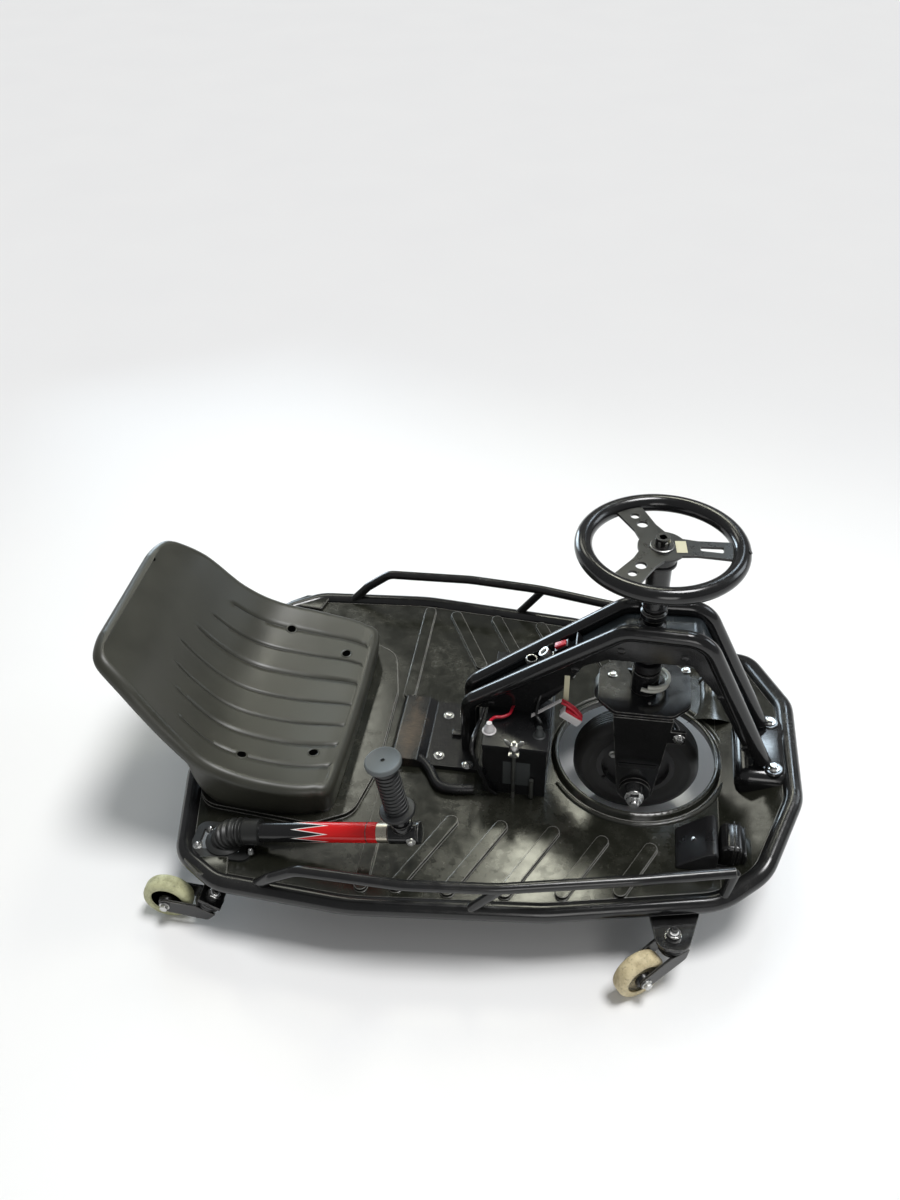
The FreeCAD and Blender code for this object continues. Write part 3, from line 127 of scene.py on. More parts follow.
class Paint:
    """A material whose nodes are built by short calls."""

    def __init__(self, name):
        self.material = bpy.data.materials.new(name)
        self.material.use_nodes = True
        self.tree = self.material.node_tree
        self.shader = self.tree.nodes["Principled BSDF"]
        self.coords = self.node("ShaderNodeTexCoord").outputs["Object"]

    def node(self, kind, **settings):
        """A new node with its settings."""
        made = self.tree.nodes.new(kind)
        for key, value in settings.items():
            setattr(made, key, value)
        return made

    def put(self, socket, value):
        """Links a socket, or sets its number or colour."""
        if isinstance(value, bpy.types.NodeSocket):
            self.tree.links.new(value, socket)
        elif isinstance(value, (tuple, list)) and len(value) == 3 and socket.type == "RGBA":
            socket.default_value = (*value, 1)
        else:
            socket.default_value = value

    def noise(self, scale, detail=4, rough=0.55, stretch=(1, 1, 1)):
        """Cloudy noise in the object's coordinates, which can be scaled along each axis."""
        mapping = self.node("ShaderNodeMapping")
        self.put(mapping.inputs["Vector"], self.coords)
        mapping.inputs["Scale"].default_value = stretch
        made = self.node("ShaderNodeTexNoise")
        self.put(made.inputs["Vector"], mapping.outputs["Vector"])
        for key, value in (("Scale", scale), ("Detail", detail), ("Roughness", rough)):
            made.inputs[key].default_value = value
        return made.outputs["Fac"]

    def ramp(self, factor, *stops):
        """Colours or numbers at given places along a factor."""
        made = self.node("ShaderNodeValToRGB")
        band = made.color_ramp.elements
        while len(band) < len(stops):
            band.new(0.5)
        for element, (place, value) in zip(band, stops):
            element.position = place
            element.color = (*value, 1) if isinstance(value, (tuple, list)) else (value,) * 3 + (1,)
        self.put(made.inputs["Fac"], factor)
        return made.outputs["Color"]

    def math(self, operation, a, b=0.5, clamp=False):
        made = self.node("ShaderNodeMath", operation=operation, use_clamp=clamp)
        self.put(made.inputs[0], a)
        self.put(made.inputs[1], b)
        return made.outputs[0]

    def mix(self, factor, a, b):
        made = self.node("ShaderNodeMix", data_type="RGBA")
        self.put(made.inputs[0], factor)
        self.put(made.inputs[6], a)
        self.put(made.inputs[7], b)
        return made.outputs[2]

    def axis(self, name, source=None):
        made = self.node("ShaderNodeSeparateXYZ")
        self.put(made.inputs[0], source or self.coords)
        return made.outputs[name]

    def facing_up(self):
        """1 on faces that look up, 0 on faces that look down or sideways."""
        geometry = self.node("ShaderNodeNewGeometry")
        return self.math("MAXIMUM", self.axis("Z", geometry.outputs["Normal"]), 0.0)

    def edges(self, radius):
        """Bright where a corner is near, for wear along edges and for painted edge highlights."""
        bevel = self.node("ShaderNodeBevel", samples=4)
        bevel.inputs["Radius"].default_value = radius
        geometry = self.node("ShaderNodeNewGeometry")
        dot = self.node("ShaderNodeVectorMath", operation="DOT_PRODUCT")
        self.put(dot.inputs[0], bevel.outputs["Normal"])
        self.put(dot.inputs[1], geometry.outputs["Normal"])
        return self.ramp(self.math("SUBTRACT", 1.0, dot.outputs["Value"]), (0.0, 0.0), (0.12, 1.0))

    def rounded(self, radius):
        """A normal that rounds off sharp corners, so that they catch the light."""
        bevel = self.node("ShaderNodeBevel", samples=4)
        bevel.inputs["Radius"].default_value = radius
        return bevel.outputs["Normal"]

    def bump(self, height, strength, distance, under=None):
        made = self.node("ShaderNodeBump")
        made.inputs["Strength"].default_value = strength
        made.inputs["Distance"].default_value = distance
        self.put(made.inputs["Height"], height)
        if under:
            self.put(made.inputs["Normal"], under)
        return made.outputs["Normal"]

    def finish(self, color, roughness, normal=None, metallic=0.0, **more):
        """Sets the shader's sockets; more names other sockets with _ for a space."""
        self.put(self.shader.inputs["Base Color"], color)
        self.put(self.shader.inputs["Roughness"], roughness)
        self.put(self.shader.inputs["Metallic"], metallic)
        if normal:
            self.put(self.shader.inputs["Normal"], normal)
        for key, value in more.items():
            self.shader.inputs[key.replace("_", " ")].default_value = value
        return self.material


def gloss_black(name, base, dust, chips, rough=0.12, corner=0.0016, edge_highlight_and_wear=0.0):
    """Gloss paint with rounded corners, dust on its upper faces and metal showing at worn corners; the last
    argument lightens every corner too, as a painted edge highlight.
    """
    p = Paint(name)
    smear = p.noise(48, 6, 0.66)
    cloud = p.noise(9, 5, 0.62)
    lying = p.math("MULTIPLY", p.facing_up(), p.ramp(cloud, (0.42, 0.1), (0.66, 1.0)))
    film = p.math("MULTIPLY", p.ramp(smear, (0.35, 0.2), (0.7, 1.0)), lying)
    specks = p.math("MULTIPLY", p.ramp(p.noise(430, 2), (0.67, 0.0), (0.73, 1.0)), lying)
    dusty = p.math("ADD", p.math("MULTIPLY", film, dust), p.math("MULTIPLY", specks, dust * 2.2), clamp=True)
    paint = p.mix(dusty, base, (0.26, 0.25, 0.2))
    # Corners lighten where the paint is chipped, and by the last argument on every corner, which is a painted
    # highlight.
    worn_and_highlit_edges = p.math("MULTIPLY", p.edges(0.0022), p.ramp(p.noise(34, 6, 0.7), (0.36, edge_highlight_and_wear), (0.66, chips)))
    color = p.mix(worn_and_highlit_edges, paint, (0.42, 0.41, 0.38))
    dull = p.math("ADD", p.math("MULTIPLY", film, 0.16), p.math("MULTIPLY", worn_and_highlit_edges, 0.3))
    roughness = p.math("ADD", p.ramp(smear, (0.3, rough), (0.75, rough + 0.1)), dull, clamp=True)
    normal = p.bump(p.noise(26, 3), 0.12, 0.0006, p.rounded(corner))
    return p.finish(color, roughness, normal)


def plain_plastic(name, base, rough, grain_scale=700, grain=0.12, spread=0.25):
    """Moulded plastic or rubber with fine grain and slight cloudy colour changes."""
    p = Paint(name)
    fine = p.noise(grain_scale, 3)
    cloud = p.noise(14, 4)
    dark = tuple(c * (1 - spread) for c in base)
    light = tuple(min(1, c * (1 + spread)) for c in base)
    color = p.ramp(cloud, (0.3, dark), (0.7, light))
    roughness = p.ramp(cloud, (0.3, rough - 0.06), (0.75, rough + 0.08))
    return p.finish(color, roughness, p.bump(fine, grain, 0.0004))


def bright_metal(name, base, rough, dirt=0.25):
    """Plated or bare metal with dull patches in its plating."""
    p = Paint(name)
    cloud = p.noise(60, 5, 0.65)
    spots = p.ramp(p.noise(240, 3), (0.6, 0.0), (0.7, dirt))
    color = p.mix(spots, p.ramp(cloud, (0.3, tuple(c * 0.8 for c in base)), (0.7, base)), (0.16, 0.13, 0.1))
    roughness = p.ramp(cloud, (0.35, rough), (0.75, rough + 0.18))
    return p.finish(color, roughness, p.bump(cloud, 0.05, 0.0003), metallic=1.0)


def worn_tread(name, base, stain):
    """Cast tread of a caster wheel, scuffed and dirty on its running face."""
    p = Paint(name)
    cloud = p.noise(46, 6, 0.65)
    pits = p.ramp(p.noise(300, 3), (0.58, 0.0), (0.68, 0.8))
    color = p.ramp(cloud, (0.3, stain), (0.55, base), (0.8, tuple(min(1, c * 1.15) for c in base)))
    color = p.mix(p.math("MULTIPLY", pits, 0.5), color, (0.12, 0.1, 0.07))
    return p.finish(color, p.ramp(cloud, (0.3, 0.7), (0.7, 0.45)), p.bump(p.noise(190, 5), 0.35, 0.0008))


def hole_shade_paint(name):
    """Painted shade for the inside of a screw hole: a near-black face that gives no reflections."""
    p = Paint(name)
    shade = p.ramp(p.noise(60, 2), (0.3, (0.001, 0.001, 0.001)), (0.7, (0.003, 0.003, 0.003)))
    return p.finish(shade, 0.95, Specular_IOR_Level=0.0)


BLACK = (0.0085, 0.0085, 0.009)
painted_hole_shade = hole_shade_paint("painted_hole_shade")
label_grey = plain_plastic("label_grey", (0.045, 0.05, 0.05), 0.4, 500, 0.05, 0.1)
rod_steel = bright_metal("rod_steel", (0.3, 0.31, 0.29), 0.34)
tube_paint = gloss_black("tube_paint", BLACK, 0.03, 0.7)
# The deck's corners all carry a painted highlight line as well as chipped wear.
deck_paint = gloss_black("deck_paint", (0.0105, 0.011, 0.0078), 0.09, 1.0, 0.1, 0.0028, 0.6)
arch_paint = gloss_black("arch_paint", BLACK, 0.02, 0.15, 0.09)
# The arch panel is gloss black; its lighter blue-grey base is a painted reflection of a pale blue window.
panel_with_painted_reflection = gloss_black("panel_with_painted_reflection", (0.03, 0.037, 0.042), 0.02, 0.15, 0.14)
fork_paint = gloss_black("fork_paint", (0.011, 0.011, 0.0115), 0.05, 0.8, 0.2)
wheel_paint = gloss_black("wheel_paint", BLACK, 0.01, 0.0, 0.1)
spoke_paint = gloss_black("spoke_paint", (0.006, 0.0058, 0.0053), 0.006, 0.25, 0.24, 0.001)
seat_plastic = plain_plastic("seat_plastic", (0.035, 0.035, 0.0265), 0.4, 900, 0.05, 0.14)
# Near-black plastic of the skirt; on the seat's groove floors it is painted shade.
skirt_plastic_and_groove_shade = plain_plastic("skirt_plastic_and_groove_shade", (0.009, 0.009, 0.008), 0.4)
pedal_plastic = plain_plastic("pedal_plastic", (0.014, 0.014, 0.015), 0.32, 600, 0.08)
boot_rubber = plain_plastic("boot_rubber", (0.013, 0.0135, 0.013), 0.42, 500, 0.12)
grip_rubber = plain_plastic("grip_rubber", (0.012, 0.0125, 0.013), 0.42, 500, 0.15)
cap_rubber = plain_plastic("cap_rubber", (0.082, 0.093, 0.096), 0.5, 400, 0.12, 0.12)
tyre_rubber = plain_plastic("tyre_rubber", (0.016, 0.0155, 0.015), 0.5, 260, 0.2, 0.3)
rim_plastic = plain_plastic("rim_plastic", (0.03, 0.03, 0.031), 0.4)
case_plastic = plain_plastic("case_plastic", (0.0075, 0.0078, 0.0085), 0.3)
black_plastic = plain_plastic("black_plastic", (0.0085, 0.0085, 0.009), 0.3)
cable_black = plain_plastic("cable_black", (0.009, 0.009, 0.0095), 0.22, 500, 0.04)
cable_grey = plain_plastic("cable_grey", (0.4, 0.4, 0.36), 0.35)
cable_red = plain_plastic("cable_red", (0.45, 0.012, 0.03), 0.3)
white_plastic = plain_plastic("white_plastic", (0.62, 0.6, 0.6), 0.35, 500, 0.05, 0.08)
cream_paper = plain_plastic("cream_paper", (0.6, 0.57, 0.4), 0.5, 300, 0.05, 0.08)
red_plastic = plain_plastic("red_plastic", (0.5, 0.015, 0.03), 0.25)
chrome = bright_metal("chrome", (0.8, 0.8, 0.79), 0.12)
zinc = bright_metal("zinc", (0.62, 0.62, 0.6), 0.26)
sleeve_metal = bright_metal("sleeve_metal", (0.62, 0.58, 0.48), 0.24, 0.15)
motor_metal = bright_metal("motor_metal", (0.22, 0.225, 0.23), 0.36)
tread_cream = worn_tread("tread_cream", (0.62, 0.53, 0.33), (0.36, 0.29, 0.16))
tread_green = worn_tread("tread_green", (0.5, 0.5, 0.3), (0.26, 0.26, 0.14))


def saddle_paint():
    """Black paint with one brown smear, worn through, on the raised bar."""
    p = Paint("saddle_paint")
    far = p.math("ABSOLUTE", p.math("ADD", p.axis("X"), 0.0795))
    aside = p.math("MULTIPLY", p.math("ABSOLUTE", p.math("ADD", p.axis("Y"), 0.012)), 0.25)
    edge = p.math("ADD", p.math("ADD", far, aside), p.math("MULTIPLY", p.noise(30, 6, 0.7), 0.05))
    patch = p.ramp(edge, (0.03, 0.9), (0.056, 0.0))
    scuffs = p.noise(110, 6, 0.7, (1, 4, 1))
    brown = p.ramp(scuffs, (0.3, (0.03, 0.022, 0.015)), (0.7, (0.1, 0.072, 0.05)))
    normal = p.bump(p.noise(26, 3), 0.1, 0.0006, p.rounded(0.002))
    return p.finish(p.mix(patch, BLACK, brown), p.ramp(scuffs, (0.3, 0.26), (0.7, 0.14)), normal)


# The drift bar in its rest pose: where it starts, its direction, its grip's direction and its tip.
BAR_START = at(-596, -262, 131.7)
BAR_WAY = Vector((math.cos(math.radians(9)), 0, math.sin(math.radians(9))))
GRIP_WAY = Vector((-BAR_WAY.z, 0, BAR_WAY.x))
TIP = at(-330, -262, 173.8)
TOOTH_LONG = 0.05
TEETH = 7


def bar_paint():
    """Gloss black bar whose front part is red, with long white-edged teeth where they meet."""
    p = Paint("bar_paint")
    from_start = p.node("ShaderNodeVectorMath", operation="SUBTRACT")
    p.put(from_start.inputs[0], p.coords)
    from_start.inputs[1].default_value = BAR_START

    def along(way):
        made = p.node("ShaderNodeVectorMath", operation="DOT_PRODUCT")
        p.put(made.inputs[0], from_start.outputs["Vector"])
        made.inputs[1].default_value = way
        return made.outputs["Value"]

    turn = p.math("ADD", p.math("ARCTAN2", along(LEFT), along(GRIP_WAY)), 2 * math.pi)
    tooth = p.math("MULTIPLY", p.math("PINGPONG", turn, math.pi / TEETH), TOOTH_LONG * TEETH / math.pi)
    ahead = p.math("ADD", along(BAR_WAY), tooth)
    white, red = (0.75, 0.74, 0.72), (0.56, 0.008, 0.009)
    bands = p.ramp(p.math("MULTIPLY", ahead, 4), (0.0, BLACK), (0.6, white), (0.632, red), (0.99, red))
    bands.node.color_ramp.interpolation = "CONSTANT"
    scratches = p.noise(120, 5, 0.6, (0.3, 1, 1))
    return p.finish(bands, p.ramp(scratches, (0.35, 0.1), (0.75, 0.26)), p.bump(scratches, 0.04, 0.0004))


PAINTS = {
    "tube_paint": tube_paint, "deck_paint": deck_paint, "bar_paint": bar_paint(), "zinc": zinc,
    "chrome": chrome, "fork_steel": fork_paint, "motor_case": motor_metal,
    "seat_plastic": skirt_plastic_and_groove_shade, "pedal_plastic": pedal_plastic, "switch_plastic": red_plastic,
    "battery_case": case_plastic, "rim_plastic": rim_plastic, "caster_tread": tread_cream,
    "grip_foam": wheel_paint, "rubber": boot_rubber, "tyre": tyre_rubber,
}
for row in frame["record"]["subparts"]:
    node = nodes[row["node"]]
    node.data.materials.clear()
    node.data.materials.append(PAINTS[row["material_slot"]])
nodes["saddle_plate"].data.materials[0] = saddle_paint()
nodes["steering_spokes"].data.materials[0] = spoke_paint
for name in ("arch_tube_left", "arch_tube_right", "arch_plate_left", "arch_plate_right"):
    nodes[name].data.materials[0] = arch_paint
# The panel takes the gloss black with the painted reflection in its base.
nodes["arch_panel"].data.materials[0] = panel_with_painted_reflection


# Mesh pieces

class Piece:
    """Several plain forms gathered in one mesh that rides on a body."""

    def __init__(self, name, body, *materials):
        self.name = name
        self.body = body
        self.materials = materials
        self.mesh = bmesh.new()

    def keep(self, faces, material):
        """Gives faces a material and smooth shading."""
        for face in faces:
            face.material_index = material
            face.smooth = True

    def grid(self, rings, material=0, close_across=True):
        """Faces between rings of points; each ring has the same count."""
        rows = [[self.mesh.verts.new(point) for point in ring] for ring in rings]
        made = []
        count = len(rows[0])
        for low, high in zip(rows, rows[1:]):
            for i in range(count if close_across else count - 1):
                j = (i + 1) % count
                made.append(self.mesh.faces.new((low[i], low[j], high[j], high[i])))
        self.keep(made, material)
        return rows

    def lathe(self, profile, place, material=0, steps=40):
        """A form turned about the place's Z from (radius, height) points in millimetres."""
        rings = []
        for radius, height in profile:
            ring = [place @ (Vector((radius * math.cos(t), radius * math.sin(t), height)) / 1000)
                    for t in (2 * math.pi * i / steps for i in range(steps))]
            rings.append(ring)
        rows = self.grid(rings, material)
        ends = ((rows[0][::-1], profile[0][0]), (rows[-1], profile[-1][0]))
        caps = [self.mesh.faces.new(row) for row, radius in ends if radius > 0.01]
        self.keep(caps, material)
        bmesh.ops.remove_doubles(self.mesh, verts=[v for row in rows for v in row], dist=1e-6)

    def prism(self, outline, tall, place, material=0, bevel=0.0):
        """An outline in millimetres pushed up along the place's Z, with its rims rounded off."""
        before = set(self.mesh.faces)
        low = [self.mesh.verts.new(place @ (Vector((x, y, 0)) / 1000)) for x, y in outline]
        high = [self.mesh.verts.new(place @ (Vector((x, y, tall)) / 1000)) for x, y in outline]
        made = [self.mesh.faces.new(low[::-1]), self.mesh.faces.new(high)]
        for i in range(len(low)):
            j = (i + 1) % len(low)
            made.append(self.mesh.faces.new((low[i], low[j], high[j], high[i])))
        if bevel:
            edges = {edge for face in made for edge in face.edges}
            bmesh.ops.bevel(self.mesh, geom=list(edges), offset=bevel / 1000, segments=3,
                            profile=0.6, affect="EDGES", clamp_overlap=True)
        self.keep([face for face in self.mesh.faces if face not in before], material)

    def box(self, size, place, material=0, bevel=1.0):
        """A box centred on the place, its size in millimetres."""
        x, y, z = (side / 2 for side in size)
        self.prism([(-x, -y), (x, -y), (x, y), (-x, y)], size[2], lifted(place, -z), material, bevel)

    def tube(self, points, radius, material=0, steps=12, samples=8, bulge=None):
        """A round cable along a smooth line through points; bulge scales the radius along it."""
        path = smooth_line(points, samples)
        side = None
        rings = []
        for i, here in enumerate(path):
            way = (path[min(i + 1, len(path) - 1)] - path[max(i - 1, 0)]).normalized()
            side = way.orthogonal() if side is None else side - way * side.dot(way)
            side.normalize()
            other = way.cross(side)
            wide = radius * (bulge(i / (len(path) - 1)) if bulge else 1) / 1000
            rings.append([here + (side * math.cos(t) + other * math.sin(t)) * wide
                          for t in (2 * math.pi * j / steps for j in range(steps))])
        rows = self.grid(rings, material)
        self.keep([self.mesh.faces.new(rows[0][::-1]), self.mesh.faces.new(rows[-1])], material)

    def make(self, replaces=(), sharp=34, riding=True):
        """Turns the mesh into an object on its body, shown in place of the CAD nodes that it replaces."""
        bmesh.ops.recalc_face_normals(self.mesh, faces=self.mesh.faces)
        data = bpy.data.meshes.new(self.name)
        self.mesh.to_mesh(data)
        self.mesh.free()
        for material in self.materials:
            data.materials.append(material)
        data.set_sharp_from_angle(angle=math.radians(sharp))
        made = show(self.name, data)
        if riding:
            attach(made, self.body)
        if replaces:
            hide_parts(*replaces)
        return made


def smooth_line(points, samples):
    """Points along a Catmull-Rom curve through the given points."""
    spread = [points[0]] + list(points) + [points[-1]]
    line = []
    for a, b, c, d in zip(spread, spread[1:], spread[2:], spread[3:]):
        for i in range(samples):
            t = i / samples
            line.append(0.5 * (2 * b + (c - a) * t + (2 * a - 5 * b + 4 * c - d) * t * t
                               + (3 * b - a - 3 * c + d) * t ** 3))
    return line + [points[-1]]


def hexagon(across):
    """Outline of a hexagon from its width across flats."""
    return [round_at(across / math.sqrt(3), 60 * i) for i in range(6)]


def bolt(piece, place, across=10, head=5, washer=9, material=0):
    """Washer and hexagon head on a face."""
    piece.lathe([(0, 0), (washer, 0), (washer, 1.1), (washer - 0.7, 1.6), (0, 1.6)], place, material, 28)
    piece.prism(hexagon(across), head, lifted(place, 1.6), material, 0.7)


def dome_nut(piece, place, dia, tall, material=0):
    """Cap nut: washer, hexagon and dome."""
    half = dia / 2
    piece.lathe([(0, 0), (half + 3, 0), (half + 3, 1.5), (0, 1.5)], place, material, 28)
    piece.prism(hexagon(dia * 0.92), tall * 0.45, lifted(place, 1.5), material, 0.8)
    dome = [(round_at(half * 0.86, a)[0], tall * 0.4 + round_at(tall * 0.6, a)[1]) for a in range(0, 91, 15)]
    piece.lathe([(half * 0.86, tall * 0.3)] + dome, place, material, 28)


# Seat

# Stations along the seat, front lip to top edge: edge ahead, edge height, half width, dish depth,
# facing in degrees from straight ahead.
SEAT = [
    (-454, 168, 150, 9, 96),
    (-482, 171, 198, 12, 93),
    (-560, 183, 210, 24, 86),
    (-636, 204, 204, 30, 68),
    (-688, 246, 190, 30, 44),
    (-745, 317, 176, 22, 36),
    (-792, 356, 150, 12, 46),
    (-813, 367, 108, 6, 58),
]
# The four bolt holes: ahead and side.
SEAT_HOLES = [(-502, 117), (-502, -117), (-606, 150), (-606, -150)]
# Grooves: place across from -1 to 1, place along at which they end on the back.
GROOVES = [(-0.78, 4.1), (-0.52, 4.35), (-0.27, 4.5), (0.0, 4.6), (0.28, 4.45), (0.53, 4.3), (0.78, 4.1)]
# A groove's section: millimetres beside its middle and share of its depth.
GROOVE_SIDES = ((-1.7, 0.0), (-0.8, 0.8), (0.0, 1.0), (0.8, 0.8), (1.7, 0.0))
GROOVE_DEEP = 1.4
# The rim's rounding, the sheet's wall and the height of the skirt's foot.
RIM_ROUND = 14
SHEET_WALL = 4
SKIRT_FOOT = 114
LAST = len(SEAT) - 1
# Front end: half width of its straight edge and what its round corners add. Back end: half width
# two stations before the top edge and what its round corners take off.
FRONT_END = (150, 48)
BACK_END = (176, 28)
# Stations that the round corners at the top take up, what the back narrows by in each station, and
# the corners' length along the seat at both ends.
BACK_SPAN = 1.2
BACK_TAPER = 20
END_ALONG = (28, 36)


def station(t):
    """The seat's row at a place between two stations, on a smooth curve through them."""
    i = min(int(t), LAST - 1)
    f = t - i
    a, b, c, d = (SEAT[max(0, min(LAST, k))] for k in (i - 1, i, i + 1, i + 2))
    return [0.5 * (2 * q + (r - p) * f + (2 * p - 5 * q + 4 * r - s) * f * f + (3 * q - p - 3 * r + s) * f ** 3)
            for p, q, r, s in zip(a, b, c, d)]


def half_width(t):
    """Half width of the seat; both ends close on quarter ellipses."""
    if t < 1:
        return FRONT_END[0] + FRONT_END[1] * math.sqrt(1 - (1 - t) ** 2)
    if t > LAST - 2:
        round_off = BACK_END[1] * (1 - math.sqrt(max(0.0, 1 - top_share(t) ** 2)))
        return BACK_END[0] - BACK_TAPER * (t - LAST + 2) - round_off
    return station(t)[2]


def top_share(t):
    """0 where the top's round corners start, 1 at the top edge."""
    return max(0.0, (t - LAST + BACK_SPAN) / BACK_SPAN)


def looks(t):
    """The direction that the seat's face looks in, in its middle plane."""
    turn = math.radians(station(t)[4])
    return Vector((math.cos(turn), 0, math.sin(turn)))


def seat_point(t, side):
    """A point of the seat's upper face, its side given in millimetres from the middle plane."""
    ahead, height, half, dish, turn = station(t)
    share = min(1.0, abs(side) / half_width(t))
    return at(ahead, side, height) - looks(t) * (dish * (1 - share * share) / 1000)


def smooth_step(x):
    """0 below 0, 1 above 1 and smooth between."""
    x = max(0.0, min(1.0, x))
    return x * x * (3 - 2 * x)


def edge_drop(t):
    """How far the edge is turned down: to the platform round the pan, a short lip up the back."""
    to_floor = station(min(t, 3.0))[1] - SKIRT_FOOT
    lip = 19 - 5 * smooth_step((t - 5) / 2)
    return to_floor + (lip - to_floor) * smooth_step((t - 2.75) / 0.75)


def outward(t):
    """Which way the right-hand rim looks, as shares across and along; both ends turn round a corner."""
    if t < 1:
        c, s = 1 - t, math.sqrt(max(0.0, 1 - (1 - t) ** 2))
        across, along = s / FRONT_END[1], c / END_ALONG[0]
    elif t > LAST - BACK_SPAN:
        s = top_share(t)
        across, along = math.sqrt(max(0.0, 1 - s * s)) / BACK_END[1], -s / END_ALONG[1]
    else:
        return 1.0, 0.0
    size = math.hypot(across, along)
    return across / size, along / size


def sheet_point(t, share, step=0.0):
    """A point of the face, inside the rounding of the rim."""
    normal = looks(t)
    along = Vector((normal.z, 0, -normal.x))
    inset = top_share(t) - max(0.0, 1 - t)
    place = seat_point(t, (share + step / 200) * (half_width(t) - RIM_ROUND))
    return place + along * (inset * RIM_ROUND / 1000)


def add_seat_sheet():
    """The moulded sheet: grooved face with painted shade along the groove floors, round corners and turned-down
    edge, with the wall's thickness.
    """
    piece = Piece("seat_moulding", "chassis", seat_plastic, skirt_plastic_and_groove_shade)
    plain = [-1 + 2 * i / 60 for i in range(61)] + [-0.985, 0.985]
    columns = [(share, 0.0, 0.0) for share in plain if all(abs(share - g) > 0.024 for g, reach in GROOVES)]
    columns += [(place, step, cut) for place, reach in GROOVES for step, cut in GROOVE_SIDES]
    columns.sort(key=lambda c: c[0] * 200 + c[1])
    rows = [1 - math.cos(math.radians(angle)) for angle in range(0, 90, 6)]
    rows += [1 + (LAST - 1 - BACK_SPAN) * i / 80 for i in range(81)]
    rows += [LAST - BACK_SPAN + BACK_SPAN * math.sin(math.radians(angle)) for angle in range(4, 91, 4)]
    reach = dict(GROOVES)
    rings = []
    for t in rows:
        ring = []
        for share, step, cut in columns:
            depth = 0.0
            if cut:
                depth = cut * GROOVE_DEEP * smooth_step((reach[share] - t) / 0.12) * smooth_step(t / 0.4)
            ring.append(sheet_point(t, share, step) - looks(t) * (depth / 1000))
        rings.append(ring)
    made = piece.grid(rings, close_across=False)
    # Faces along each groove's floor take the near-black skirt plastic: painted shade in the grooves.
    groove_shade_verts = {made[j][i] for i, (share, step, cut) in enumerate(columns) if cut == 1.0
             for j, t in enumerate(rows) if 0.02 < t < reach[share] - 0.05}
    for face in piece.mesh.faces:
        if sum(vert in groove_shade_verts for vert in face.verts) == 2:
            face.material_index = 1
    count = len(columns) - 1
    round_way = [(t, 1) for t in rows] + [(rows[-1], 1 - 2 * i / count) for i in range(1, count)]
    round_way += [(t, -1) for t in reversed(rows)] + [(rows[0], 2 * i / count - 1) for i in range(1, count)]
    edge = [ring[-1] for ring in rings] + rings[-1][-2:0:-1] + [ring[0] for ring in reversed(rings)]
    edge += rings[0][1:-1]
    arc = [math.radians(angle) for angle in (0, 20, 40, 60, 78, 90)]
    steps = [(RIM_ROUND * math.sin(a), RIM_ROUND * (1 - math.cos(a)), 0.0) for a in arc]
    steps += [(RIM_ROUND, RIM_ROUND, share) for share in (0.2, 0.5, 0.8, 1.0)]
    rims = []
    for out, down, share in steps:
        ring = []
        for (t, side), point in zip(round_way, edge):
            normal = looks(t)
            across, ahead = outward(t)
            if abs(side) < 1:
                across = 0.0
            way = LEFT * math.copysign(across, side) + Vector((normal.z, 0, -normal.x)) * ahead
            deep = (edge_drop(t) - RIM_ROUND) * share
            down_way = Vector((0, 0, -1)).lerp(-normal, smooth_step((t - 2.6) / 0.8)).normalized()
            ring.append(point + way * ((out - 0.12 * deep) / 1000) + down_way * ((down + deep) / 1000))
        rims.append(ring)
    piece.grid(rims)
    bmesh.ops.remove_doubles(piece.mesh, verts=piece.mesh.verts, dist=2e-5)
    shell = piece.make(["seat_shell"], sharp=60)
    middle = seat_point(1.5, 20)
    if min(shell.data.polygons, key=lambda face: (face.center - middle).length).normal.z < 0:
        shell.data.flip_normals()
    wall = shell.modifiers.new("wall", "SOLIDIFY")
    wall.thickness = SHEET_WALL / 1000
    wall.offset = -1


def on_seat(ahead, side):
    """The place along the seat and the point of its face that lies at a distance ahead."""
    t = min((k / 50 for k in range(50 * LAST)), key=lambda k: abs(seat_point(k, side).x - at(ahead, 0, 0).x))
    return t, seat_point(t, side)


def add_seat_details():
    """Bolt holes with their raised rings, the hanging hole and the wall behind the skirt; near-black discs in
    the holes are painted shade.
    """
    piece = Piece("seat_details", "chassis", seat_plastic, skirt_plastic_and_groove_shade, painted_hole_shade)
    for ahead, side in SEAT_HOLES:
        t, here = on_seat(ahead, side)
        near = seat_point(t, side - math.copysign(12, side)) - seat_point(t, side + math.copysign(12, side))
        out = looks(t) - near.normalized() * looks(t).dot(near.normalized())
        place = facing(here, out)
        piece.lathe([(10.5, -0.8), (9.6, 0.5), (8.6, 0.9), (7.6, 0.75), (7.0, 0.3)], place, 0, 36)
        # A near-black disc in each bolt hole: painted shade.
        piece.lathe([(7.1, 0.45), (0, 0.45)], place, 2, 36)
    corner = sheet_point(LAST - 0.12, 0.84)
    # The hanging hole is a near-black plug: painted shade.
    piece.lathe([(3.0, -0.5), (3.0, 0.5), (0, 0.5)], facing(corner, looks(LAST)), 2, 20)
    outline = [(-672, 150), (-660, 178), (-630, 195), (-560, 199), (-505, 190), (-480, 176), (-468, 150)]
    loop = smooth_line([at(a, s, 0) for a, s in outline[::-1]] + [at(a, -s, 0) for a, s in outline], 5)
    rings = []
    for share in (0.0, 0.5, 1.0):
        ring = []
        for point in loop:
            t, here = on_seat(point.x * 1000 - STEER_X, point.y * 1000)
            high = here.z - 0.012
            ring.append(Vector((point.x, point.y, high + (SKIRT_FOOT / 1000 - high) * share)))
        rings.append(ring)
    piece.grid(rings, 1, close_across=False)
    piece.make(sharp=50)


add_seat_sheet()
add_seat_details()


# Drift bar, its boot and its grip

